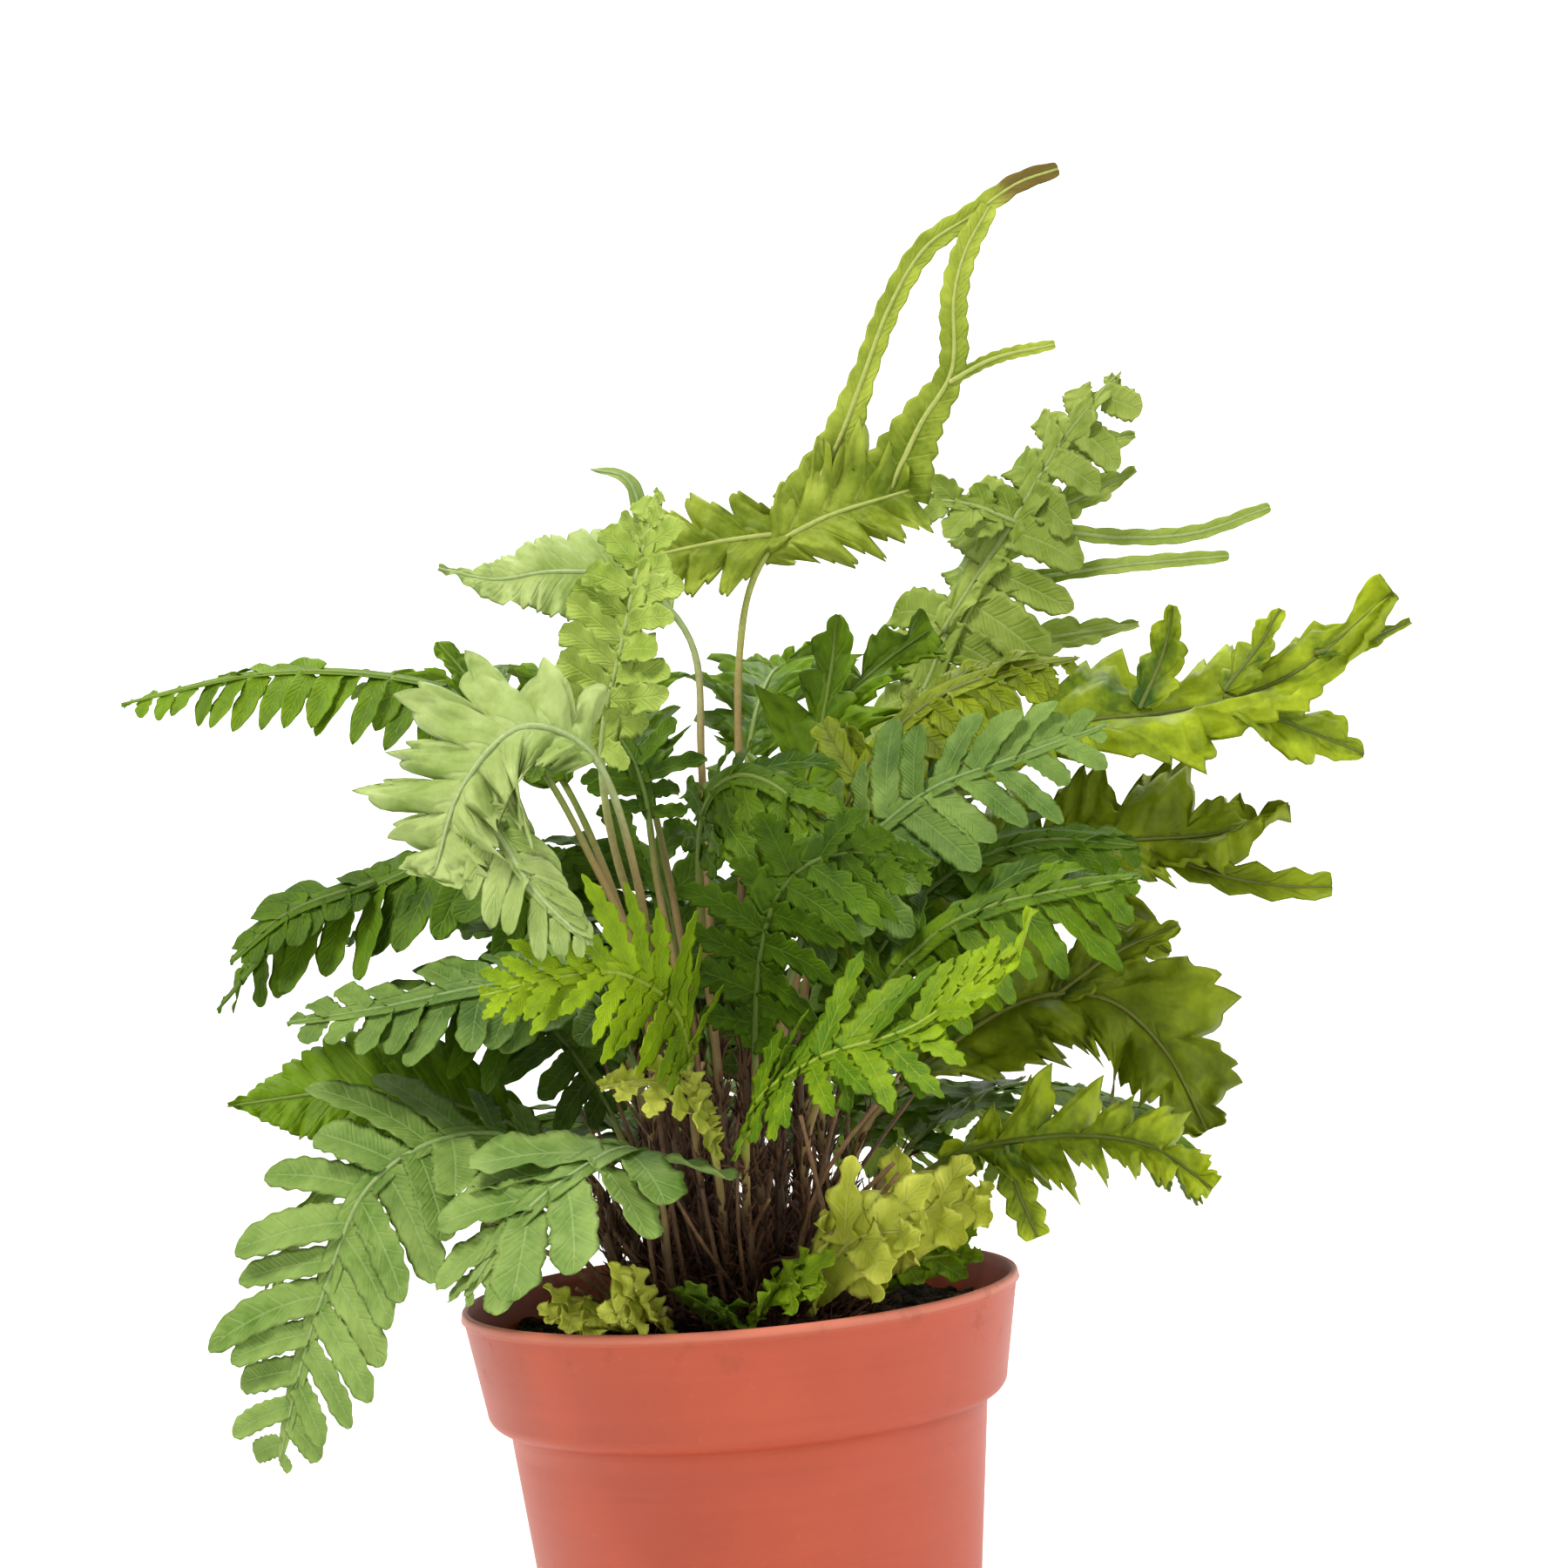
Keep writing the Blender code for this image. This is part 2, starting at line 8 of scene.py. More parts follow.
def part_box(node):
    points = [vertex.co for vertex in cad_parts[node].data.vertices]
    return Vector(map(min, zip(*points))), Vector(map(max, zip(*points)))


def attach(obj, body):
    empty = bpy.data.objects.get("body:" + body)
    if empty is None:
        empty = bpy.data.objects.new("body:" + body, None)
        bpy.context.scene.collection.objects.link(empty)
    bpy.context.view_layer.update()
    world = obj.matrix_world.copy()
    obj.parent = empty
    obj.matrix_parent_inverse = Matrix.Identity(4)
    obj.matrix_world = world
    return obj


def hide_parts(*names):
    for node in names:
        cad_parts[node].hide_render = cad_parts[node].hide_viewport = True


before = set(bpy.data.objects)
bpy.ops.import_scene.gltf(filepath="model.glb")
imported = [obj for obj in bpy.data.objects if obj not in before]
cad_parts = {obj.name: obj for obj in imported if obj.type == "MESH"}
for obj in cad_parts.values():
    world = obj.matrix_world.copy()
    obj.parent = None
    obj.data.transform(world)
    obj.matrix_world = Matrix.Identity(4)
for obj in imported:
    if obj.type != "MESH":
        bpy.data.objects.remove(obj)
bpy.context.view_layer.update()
mm = 0.001
up = np.array([0.0, 0.0, 1.0])
thickness = dict(blade=0.35 * mm, leaflet=0.3 * mm, scale=0.12 * mm)
narrowest = dict(leaflet=0.12 * mm, scale=0.06 * mm)


# A socket that adds Math nodes as it is used in an expression
class Wire:
    def __init__(self, paint, socket):
        self.paint = paint
        self.socket = socket

    def maths(self, operation, first, second=0.0, clamp=False):
        return self.paint.add("ShaderNodeMath", {"operation": operation, "use_clamp": clamp},
                              {0: first, 1: second})

    def __add__(self, other):
        return self.maths("ADD", self, other)

    def __radd__(self, other):
        return self.maths("ADD", other, self)

    def __sub__(self, other):
        return self.maths("SUBTRACT", self, other)

    def __rsub__(self, other):
        return self.maths("SUBTRACT", other, self)

    def __mul__(self, other):
        return self.maths("MULTIPLY", self, other)

    def __rmul__(self, other):
        return self.maths("MULTIPLY", other, self)

    def fraction(self):
        return self.maths("FRACT", self)

    def size(self):
        return self.maths("ABSOLUTE", self)

    def clamped(self):
        return self.maths("ADD", self, 0.0, clamp=True)

    # 0 below low, 1 above high, smooth between
    def step(self, low, high):
        settings = {"interpolation_type": "SMOOTHSTEP"}
        return self.paint.add("ShaderNodeMapRange", settings, {0: self, 1: low, 2: high, 3: 0.0, 4: 1.0})


# One material, whose nodes are added one by one: a node's kind, its settings, then its inputs
class Paint:
    def __init__(self, name):
        self.material = bpy.data.materials.new(name)
        self.material.use_nodes = True
        self.tree = self.material.node_tree
        self.shader = self.tree.nodes["Principled BSDF"]
        self.output = self.tree.nodes["Material Output"]

    def add(self, kind, settings, inputs, output=0):
        node = self.tree.nodes.new(kind)
        for key, value in settings.items():
            setattr(node, key, value)
        self.join(node, inputs)
        return Wire(self, node.outputs[output])

    def join(self, node, inputs):
        for key, value in inputs.items():
            if isinstance(value, Wire):
                self.tree.links.new(value.socket, node.inputs[key])
            elif isinstance(value, tuple) and len(value) == 3 and node.inputs[key].type == "RGBA":
                node.inputs[key].default_value = (*value, 1.0)
            else:
                node.inputs[key].default_value = value

    def mix(self, share, first, second):
        return self.add("ShaderNodeMix", {"data_type": "RGBA", "clamp_factor": True},
                        {0: share, 6: first, 7: second}, output=2)

    def noise(self, scale, detail, roughness, vector=None):
        return self.add("ShaderNodeTexNoise", {}, {"Vector": vector or self.place(), "Scale": scale,
                                                   "Detail": detail, "Roughness": roughness})

    def place(self):
        return self.add("ShaderNodeTexCoord", {}, {}, output=3)

    def attribute(self, name):
        return self.add("ShaderNodeAttribute", {"attribute_name": name}, {}, output=2)

    def bump(self, height, strength, distance):
        return self.add("ShaderNodeBump", {}, {"Height": height, "Strength": strength,
                                               "Distance": distance})

    def finish(self, **inputs):
        self.join(self.shader, {key.replace("_", " "): value for key, value in inputs.items()})
        return self.material


# Growing list of surface patches that end up as one piece
class Patches:
    def __init__(self):
        self.points, self.quads, self.triangles = [], [], [np.zeros((0, 3), int)]
        self.uv, self.tone, self.along, self.under = [], [], [], []
        self.slotOfQuad, self.slotOfTriangle = [], []
        self.count = 0

    def add(self, points, quads, uv, tone, along, under, slot, triangles=()):
        points = points.reshape(-1, 3)
        size = len(points)
        self.points.append(points)
        self.quads.append(quads + self.count)
        self.slotOfQuad.append(np.full(len(quads), slot))
        if len(triangles):
            self.triangles.append(triangles + self.count)
            self.slotOfTriangle.append(np.full(len(triangles), slot))
        self.uv.append(np.broadcast_to(uv, (size, 2)))
        for store, value in ((self.tone, tone), (self.along, along), (self.under, under)):
            store.append(np.broadcast_to(np.asarray(value, float).reshape(-1), (size,)))
        self.count += size


# Puts the patches into one mesh object at the origin, parents it to the root body and hides the CAD nodes it
# stands in for
def makePiece(name, patches, materials, slot, nodes=()):
    mesh = bpy.data.meshes.new(name)
    points, quads, triangles = map(np.concatenate, (patches.points, patches.quads, patches.triangles))
    corners = np.concatenate([quads.ravel(), triangles.ravel()])
    starts = np.concatenate([np.arange(len(quads)) * 4, len(quads) * 4 + np.arange(len(triangles)) * 3])
    mesh.vertices.add(len(points))
    mesh.vertices.foreach_set("co", points.ravel())
    mesh.loops.add(len(corners))
    mesh.loops.foreach_set("vertex_index", corners.astype(np.int32))
    mesh.polygons.add(len(starts))
    mesh.polygons.foreach_set("loop_start", starts.astype(np.int32))
    slots = np.concatenate(patches.slotOfQuad + patches.slotOfTriangle)
    mesh.polygons.foreach_set("material_index", slots.astype(np.int32))
    mesh.polygons.foreach_set("use_smooth", np.ones(len(starts), bool))
    mesh.update(calc_edges=True)
    layer = mesh.uv_layers.new(name="leaf")
    layer.data.foreach_set("uv", np.concatenate(patches.uv)[corners].astype(np.float32).ravel())
    for key in ("tone", "along", "under"):
        values = np.concatenate(getattr(patches, key)).astype(np.float32)
        mesh.attributes.new(key, "FLOAT", "POINT").data.foreach_set("value", values)
    for material in materials:
        mesh.materials.append(material)
    piece = bpy.data.objects.new(name, mesh)
    bpy.context.scene.collection.objects.link(piece)
    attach(piece, "root")
    for node in nodes:
        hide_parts(node)
    return piece


def unit(vectors):
    return vectors / np.maximum(np.linalg.norm(vectors, axis=-1, keepdims=True), 1e-12)


# Catmull-Rom curve through the points, 24 steps between each pair
def smoothLine(points, steps=24):
    points = np.asarray(points, float)
    padded = np.concatenate([[2 * points[0] - points[1]], points, [2 * points[-1] - points[-2]]])
    a, b, c, d = padded[:-3, None], padded[1:-2, None], padded[2:-1, None], padded[3:, None]
    t = (np.arange(steps) / steps)[None, :, None]
    curve = 0.5 * (2 * b + (c - a) * t + (2 * a - 5 * b + 4 * c - d) * t**2
                   + (3 * b - a - 3 * c + d) * t**3)
    return np.concatenate([curve.reshape(-1, 3), points[-1:]])


# A line with even steps, its directions, and its upper side. The upper side looks towards facing
# at the middle share, and is carried both ways from there without twisting.
def spineOf(points, facing, middle, count=161):
    line = smoothLine(points)
    lengths = np.concatenate([[0], np.cumsum(np.linalg.norm(np.diff(line, axis=0), axis=1))])
    even = np.linspace(0, lengths[-1], count)
    line = np.stack([np.interp(even, lengths, line[:, axis]) for axis in range(3)], axis=1)
    ahead = unit(np.gradient(line, axis=0))
    ups = np.zeros_like(line)
    start = int(round(middle * (count - 1)))
    ups[start] = unit(np.asarray(facing, float) - ahead[start] * np.dot(facing, ahead[start]))
    for at in range(start + 1, count):
        ups[at] = unit(ups[at - 1] - ahead[at] * np.dot(ups[at - 1], ahead[at]))
    for at in range(start - 1, -1, -1):
        ups[at] = unit(ups[at + 1] - ahead[at] * np.dot(ups[at + 1], ahead[at]))
    return {"line": line, "ahead": ahead, "up": ups, "length": lengths[-1]}


# Points, directions and upper sides of a spine at any shares of its length
def onSpine(spine, shares):
    shares = np.asarray(shares, float)
    grid = np.linspace(0, 1, len(spine["line"]))
    out = [np.stack([np.interp(shares, grid, spine[key][:, axis]) for axis in range(3)], axis=-1)
           for key in ("line", "ahead", "up")]
    return out[0], unit(out[1]), unit(out[2])


# Faces of a tube: the quads between rings of points that follow one another, and the fans that close
# its ends round two more points, which come after the rings
def tubeFaces(rings, sides):
    index = np.arange(rings * sides).reshape(rings, sides)
    after = np.roll(index, -1, axis=1)
    quads = np.stack([index[:-1], after[:-1], after[1:], index[1:]], axis=-1).reshape(-1, 4)
    pole = np.full(sides, rings * sides)
    return quads, np.concatenate([np.stack([pole, after[0], index[0]], axis=-1),
                                  np.stack([pole + 1, index[-1], after[-1]], axis=-1)])


# The same faces turned the other way round
def flipped(faces):
    return np.roll(faces[:, ::-1], 1, axis=1)


# The same faces for each of many copies, whose points come one copy after another
def copied(faces, copies, size):
    return (faces[None] + (np.arange(copies) * size)[:, None, None]).reshape(-1, faces.shape[1])


# Closed sheet: a top grid of nu x nv points, and under it a bottom grid that shares its border
def sheetQuads(nu, nv):
    top = np.arange(nu * nv).reshape(nu, nv)
    low = top.copy()
    low[1:-1, 1:-1] = nu * nv + np.arange((nu - 2) * (nv - 2)).reshape(nu - 2, nv - 2)
    upper = np.stack([top[:-1, :-1], top[1:, :-1], top[1:, 1:], top[:-1, 1:]], axis=-1)
    lower = np.stack([low[:-1, :-1], low[:-1, 1:], low[1:, 1:], low[1:, :-1]], axis=-1)
    return np.concatenate([upper.reshape(-1, 4), lower.reshape(-1, 4)])


# Adds many closed sheets at once. top is (sheets, nu, nv, 3), and normal has the same shape: the
# bottom lies under the top by the thickness, which falls to nothing at the border.
def addSheets(patches, top, normal, thick, uv, tone, along, slot=0):
    sheets, nu, nv, _ = top.shape
    low = top[:, 1:-1, 1:-1] - normal[:, 1:-1, 1:-1] * thick
    points = np.concatenate([top.reshape(sheets, -1, 3), low.reshape(sheets, -1, 3)], axis=1)
    size = points.shape[1]

    def both(values):
        values = np.broadcast_to(values, (sheets, nu, nv))
        return np.concatenate([values.reshape(sheets, -1), values[:, 1:-1, 1:-1].reshape(sheets, -1)],
                              axis=1).ravel()

    under = np.concatenate([np.zeros((sheets, nu * nv)), np.ones((sheets, size - nu * nv))], axis=1)
    patches.add(points, copied(sheetQuads(nu, nv), sheets, size),
                np.stack([both(uv[0]), both(uv[1])], axis=-1), both(tone), both(along), under.ravel(), slot)


# Round tube: at each point of the line a ring of that point's radius, square to the way ahead, and a
# fan over each end
def addTube(patches, line, ahead, ups, radius, along, tone=0.0, slot=1, sides=8):
    count = len(line)
    across = np.cross(ahead, ups)
    turn = np.linspace(0, 2 * np.pi, sides, endpoint=False)
    ring = (ups[:, None] * np.cos(turn)[:, None] + across[:, None] * np.sin(turn)[:, None])
    points = line[:, None] + ring * radius[:, None, None]
    quads, fans = tubeFaces(count, sides)
    shares = np.concatenate([np.repeat(along, sides), along[[0, -1]]])
    uv = np.stack([shares * 40, np.concatenate([np.tile(turn / (2 * np.pi), count), [0, 0]])], axis=-1)
    patches.add(np.concatenate([points.reshape(-1, 3), line[[0, -1]]]), quads, uv, tone, shares, 0.0, slot,
                fans)


# How deep the rim is cut: 0 at a lobe's crest, 1 in a notch between lobes. The crest lies half way
# along the lobe, or nearer its end by saw; a low roundness swells the lobe and a high one sharpens it.
def notches(turns, roundness=0.6, saw=0.0):
    part = np.mod(turns, 1.0)
    crest = 0.5 + 0.42 * saw
    return 1 - np.where(part < crest, part / crest, (1 - part) / (1 - crest)) ** roundness


# A seeded sum of four sine waves over two coordinates, between about -1 and 1
def ripple(rng, across, along, scale=1.0):
    total = 0.0
    for octave in range(4):
        turn = rng.uniform(0, 2 * np.pi, 3)
        reach = scale * 1.7**octave
        total = total + np.sin(reach * along * math.cos(turn[0]) + turn[1]
                               + reach * across * math.sin(turn[0]) + turn[2]) / 1.5**octave
    return total / 2.4


# One broad blade along a spine. Its half width is width * sin(pi * u**q)**fullness, cut by lobes and
# teeth; both halves fold up or down from the midrib, the rim waves, and the lobes lean to the tip.
def addBlade(patches, spine, shares, width, lobes, rng, depth=0.0, fold=0.15, lean=0.35, droop=0.25,
             wave=0.12, teeth=3, toothDepth=0.08, roundness=0.6, saw=0.0, widest=0.4, fullness=0.7,
             baseWidth=0.0, tipWidth=0.0006, uneven=0.0, halves=(1.0, 1.0), columns=22, alongShares=None):
    nu = int(max(lobes * 18, 36)) + 1
    nv = columns + 1
    u = np.linspace(0, 1, nu)
    v = np.linspace(-1, 1, nv)
    line, ahead, ups = onSpine(spine, shares[0] + (shares[1] - shares[0]) * u)
    across = np.cross(ups, ahead)
    envelope = np.sin(np.pi * u ** (math.log(0.5) / math.log(widest))) ** fullness
    envelope = np.maximum(envelope, baseWidth * (1 - u) ** 2)
    side = np.sign(v)[None, :]
    turns = u[:, None] * lobes + np.where(side > 0, 0.5, 0.0)
    strength = depth * np.clip(np.minimum(u, 1 - u) * 8, 0, 1)[:, None]
    cut = 1 - strength * notches(turns, roundness, saw)
    cut = cut * (1 - toothDepth * notches(turns * teeth, 0.8, 0.5))
    reach = 1 + uneven * rng.uniform(-1, 0.5, (2, lobes + 2))
    cut = cut * reach[(side > 0).astype(int), np.floor(turns + 1e-6).astype(int)]
    cut = cut * np.where(side > 0, halves[1], halves[0])
    half = np.maximum(width * envelope[:, None] * cut, tipWidth)
    size = np.abs(v)[None, :]
    out = (side * size * half)[..., None] * across[:, None]
    crest = np.abs(np.sin(np.pi * turns))
    lift = half * (fold * size - droop * size**2)
    lift = lift + width * wave * size * (0.6 * (crest - 0.5)
                                         + ripple(rng, v[None, :] * 3, turns * 2.2, 1.2))
    lift = lift - 0.02 * width * np.exp(-((size * 12) ** 2))
    lift = lift + 0.035 * width * np.abs(np.sin(np.pi * (turns * 2 - size * 1.4))) * size * (1 - size)
    top = (line[:, None] + out + ups[:, None] * lift[..., None]
           + ahead[:, None] * (lean * half * size)[..., None])
    alongNow = shares if alongShares is None else alongShares
    share = alongNow[0] + (alongNow[1] - alongNow[0]) * u
    grid = (1, nu, nv)
    addSheets(patches, top[None], np.broadcast_to(ups[:, None], (*grid, 3)), thickness["blade"],
              (turns[None] + 0.5, np.broadcast_to((v + 1) / 2, grid)), 0.0,
              np.broadcast_to(share[None, :, None], grid))


# Pairs of leaflets along a spine. Leaflet k leaves its place on the rachis at an angle to the spine
# that falls from base to tip; its midline bends forward and sags. Its half width rises from base to
# full by a quarter sine up to peak, and falls to the tip as cos(t**blunt)**0.7; scallops cut its rim,
# which is cupped and ruffled. A web of the given share of the width joins the leaflets' feet.
def addLeaflets(patches, spine, shares, width, pairs, rng, fill=1.0, angles=(75, 40), scallops=5,
                depth=0.18, hang=0.15, cup=0.2, base=0.7, peak=0.35, blunt=2.0, widest=0.35, fullness=0.7,
                lift=0.1, saw=0.0, jitter=1.0, toneSpread=0.5, shortest=0.15, ruffle=0.12, web=0.14,
                alongShares=None):
    nu, nv = scallops * 5 + 6, 9
    place = (np.arange(pairs) + 0.5) / pairs
    place = np.concatenate([place, place + 0.35 / pairs])
    side = np.repeat([-1.0, 1.0], pairs)
    keep = place < 0.995
    place, side = place[keep], side[keep]
    count = len(place)
    line, ahead, ups = onSpine(spine, shares[0] + (shares[1] - shares[0]) * place)
    across = np.cross(ups, ahead) * side[:, None]
    power = math.log(0.5) / math.log(widest)
    length = width * np.maximum(np.sin(np.pi * place**power) ** fullness, shortest * (1.2 - place))
    length = length * (1 + 0.10 * jitter * rng.standard_normal(count))
    spacing = (shares[1] - shares[0]) * spine["length"] / pairs
    taper = np.clip(1.2 - 0.6 * place, 0.4, 1.0)
    halfWidth = 0.5 * spacing * fill * taper * (1 + 0.08 * jitter * rng.standard_normal(count))
    halfWidth = np.minimum(halfWidth, 0.46 * length)
    angle = np.radians(angles[0] + (angles[1] - angles[0]) * place
                       + 5 * jitter * rng.standard_normal(count))
    lifts = lift + 0.12 * jitter * rng.standard_normal(count)
    outward = unit(ahead * np.cos(angle)[:, None] + across * np.sin(angle)[:, None]
                   + ups * lifts[:, None] - up * hang)
    normal = unit(ups + 0.18 * jitter * rng.standard_normal((count, 3)))
    normal = unit(normal - outward * np.sum(normal * outward, axis=1, keepdims=True))
    breadth = np.cross(normal, outward)
    u = np.linspace(0, 1, nu)
    v = np.linspace(-1, 1, nv)
    rise = base + (1 - base) * np.sin(np.pi / 2 * np.minimum(u / peak, 1))
    fall = np.cos(np.pi / 2 * np.clip((u - peak) / (1 - peak), 0, 1) ** blunt) ** 0.7
    teeth = 1 - depth * np.clip(u * 6, 0, 1) * notches(u * scallops + 0.5, 0.7, saw)
    half = np.maximum(halfWidth[:, None] * (rise * fall * teeth)[None], narrowest["leaflet"])
    bend = 0.12 + 0.08 * jitter * rng.standard_normal(count)
    middle = (line[:, None] + outward[:, None] * (length[:, None] * u)[..., None]
              + ahead[:, None] * (bend[:, None] * length[:, None] * u**2)[..., None]
              - up * ((hang * 0.8 + 0.05) * length[:, None] * u**2.2)[..., None])
    size = np.abs(v)[None, None, :]
    full = half[:, :, None]
    phase = rng.uniform(0, 2 * np.pi, count)[:, None, None]
    waves = np.sin(2 * np.pi * scallops * u[None, :, None] * 0.5 + phase + np.sign(v)[None, None, :])
    height = full * (cup * (size**2 - 0.6 * size) + ruffle * size**1.5 * waves
                     + 0.05 * np.abs(np.sin(np.pi * scallops * u))[None, :, None] * size)
    top = (middle[:, :, None] + breadth[:, None, None] * (full * v[None, None, :])[..., None]
           + normal[:, None, None] * height[..., None]
           + outward[:, None, None] * (0.30 * full * size)[..., None])
    tones = toneSpread * rng.standard_normal(count)
    alongNow = shares if alongShares is None else alongShares
    share = alongNow[0] + (alongNow[1] - alongNow[0]) * place
    grid = (count, nu, nv)
    addSheets(patches, top, np.broadcast_to(normal[:, None, None], (*grid, 3)), thickness["leaflet"],
              (np.broadcast_to((u * scallops)[None, :, None], grid), np.broadcast_to((v + 1) / 2, grid)),
              np.broadcast_to(tones[:, None, None], grid),
              np.broadcast_to(share[:, None, None], grid))
    if web > 0:
        addBlade(patches, spine, shares, width * web, pairs, rng, fold=0.1, lean=0.0, droop=0.0,
                 wave=0.02, teeth=1, toothDepth=0.0, widest=widest, baseWidth=0.5, fullness=0.4,
                 columns=8, alongShares=alongNow)


# Many thin round hairs at once, each a curve of seven rings of five points
def addHairs(patches, start, ahead, bend, length, radius, tone):
    count, rings, sides = len(start), 7, 5
    u = np.linspace(0, 1, rings)[None, :, None]
    line = start[:, None] + (ahead[:, None] * u + bend[:, None] * u**2) * length[:, None, None]
    along = unit(ahead[:, None] + 2 * bend[:, None] * u)
    first = unit(np.cross(along, np.array([0.3, 0.5, 0.81])))
    second = np.cross(along, first)
    turn = np.linspace(0, 2 * np.pi, sides, endpoint=False)[:, None]
    thick = (radius[:, None, None] * (1 - 0.75 * u))[..., None]
    ring = (first[:, :, None] * np.cos(turn) + second[:, :, None] * np.sin(turn)) * thick
    points = (line[:, :, None] + ring).reshape(count, -1, 3)
    points = np.concatenate([points, line[:, :1], line[:, -1:]], axis=1)
    quads, fans = tubeFaces(rings, sides)
    size = points.shape[1]
    share = np.concatenate([np.repeat(u[0, :, 0], sides), [0, 1]])
    patches.add(points, copied(quads, count, size), np.zeros(2), np.repeat(tone, size),
                np.tile(share, count), 0.0, 1, copied(fans, count, size))


# Narrow pointed scales: each one's midline leaves its foot at a slant and curls, and its half width
# is a flat sine of the length
def addScales(patches, start, ahead, square, length, width, rng, slot=1):
    count = len(start)
    u = np.linspace(0, 1, 6)[None, :, None]
    v = np.linspace(-1, 1, 3)[None, None, :]
    across = unit(np.cross(square, ahead))
    curl = rng.uniform(-0.25, 0.35, count)[:, None, None]
    half = np.maximum(width[:, None, None] * np.sin(np.pi * (0.12 + 0.88 * u)) ** 0.8,
                      narrowest["scale"])
    long = length[:, None, None]
    top = (start[:, None, None] + ahead[:, None, None] * (long * u * (1 + 0 * v))[..., None]
           + square[:, None, None] * (curl * long * u**2 - half * 0.5 * v**2)[..., None]
           + across[:, None, None] * (half * v)[..., None])
    normal = np.broadcast_to(square[:, None, None], top.shape)
    grid = top.shape[:3]
    addSheets(patches, top, normal, thickness["scale"], (np.zeros(grid), np.zeros(grid)),
              np.broadcast_to(rng.standard_normal(count)[:, None, None], grid),
              np.broadcast_to(u, grid), slot)


# The stalk and midrib of a frond: a tube that thins from the root to the tip
def addStalk(patches, spine, thick=(1.35, 0.9, 0.35), join=0.4, count=70, sink=0.2, youngest=0.0):
    share = np.linspace(0, 1, count)
    line, ahead, ups = onSpine(spine, share)
    radius = np.interp(share, [0, join, 1], np.array(thick) * mm)
    radius = radius * (1 + 0.04 * np.sin(share * 90))
    age = np.interp(share, [0, join, 1], [youngest, max(youngest, 0.68), 1])
    addTube(patches, line - ups * (radius * sink)[:, None], ahead, ups, radius, age)


# Dry scales that stand up round the foot of a stalk, thinning out as it rises
def addChaff(patches, spine, rng, perMetre=1900, reach=0.062):
    reach = min(reach, 0.28 * spine["length"])
    count = int(perMetre * reach)
    height = reach * rng.uniform(0, 1, count) ** 1.6
    line, ahead, ups = onSpine(spine, height / spine["length"])
    turn = rng.uniform(0, 2 * np.pi, count)[:, None]
    square = ups * np.cos(turn) + np.cross(ahead, ups) * np.sin(turn)
    lean = unit(ahead + square * rng.uniform(0.15, 0.7, (count, 1)) + 0.15 * rng.standard_normal((count, 3)))
    out = unit(square - lean * np.sum(square * lean, axis=1, keepdims=True))
    addScales(patches, line + square * 1.1 * mm, lean, out, rng.uniform(3, 8.5, count) * mm,
              rng.uniform(0.3, 0.7, count) * mm, rng, slot=2)


# Leaf colours, linear: shaded body, lit body, veins, underside and dry rim of each green
leafTones = {
    "deep": dict(dark=(0.016, 0.050, 0.001), light=(0.115, 0.225, 0.003), vein=(0.160, 0.280, 0.015),
                 belly=(0.090, 0.160, 0.012), rim=(0.075, 0.155, 0.004)),
    "mid": dict(dark=(0.026, 0.078, 0.001), light=(0.185, 0.325, 0.003), vein=(0.260, 0.390, 0.025),
                belly=(0.150, 0.240, 0.020), rim=(0.140, 0.250, 0.006)),
    "fresh": dict(dark=(0.075, 0.175, 0.001), light=(0.360, 0.530, 0.006), vein=(0.440, 0.560, 0.050),
                  belly=(0.280, 0.390, 0.025), rim=(0.330, 0.440, 0.012)),
    "bright": dict(dark=(0.220, 0.350, 0.025), light=(0.540, 0.670, 0.150), vein=(0.540, 0.640, 0.180),
                   belly=(0.390, 0.500, 0.160), rim=(0.420, 0.540, 0.120)),
    "lobed": dict(dark=(0.022, 0.080, 0.001), light=(0.540, 0.650, 0.022), vein=(0.070, 0.100, 0.004),
                  belly=(0.320, 0.390, 0.030), rim=(0.420, 0.470, 0.030), stem=(0.110, 0.150, 0.006)),
    "pale": dict(dark=(0.210, 0.330, 0.045), light=(0.530, 0.640, 0.240), vein=(0.540, 0.640, 0.270),
                 belly=(0.360, 0.470, 0.190), rim=(0.400, 0.520, 0.180)),
    "blue": dict(dark=(0.080, 0.180, 0.014), light=(0.340, 0.480, 0.120), vein=(0.390, 0.520, 0.180),
                 belly=(0.250, 0.360, 0.110), rim=(0.270, 0.410, 0.090)),
    "teal": dict(dark=(0.034, 0.105, 0.008), light=(0.240, 0.375, 0.070), vein=(0.300, 0.430, 0.110),
                 belly=(0.180, 0.290, 0.070), rim=(0.180, 0.310, 0.050)),
    "upper": dict(dark=(0.150, 0.240, 0.012), light=(0.430, 0.530, 0.110), vein=(0.440, 0.520, 0.160),
                  belly=(0.300, 0.390, 0.110), rim=(0.280, 0.400, 0.110)),
    "olive": dict(dark=(0.048, 0.080, 0.001), light=(0.290, 0.370, 0.006), vein=(0.100, 0.125, 0.004),
                  belly=(0.270, 0.310, 0.030), rim=(0.230, 0.240, 0.010), stem=(0.120, 0.140, 0.006)),
    "antler": dict(dark=(0.110, 0.170, 0.002), light=(0.500, 0.590, 0.070), vein=(0.380, 0.440, 0.080),
                   belly=(0.370, 0.430, 0.090), rim=(0.340, 0.380, 0.060)),
    "yellow": dict(dark=(0.380, 0.450, 0.008), light=(0.900, 0.920, 0.160), vein=(0.760, 0.760, 0.200),
                   belly=(0.560, 0.590, 0.110), rim=(0.800, 0.700, 0.200)),
}


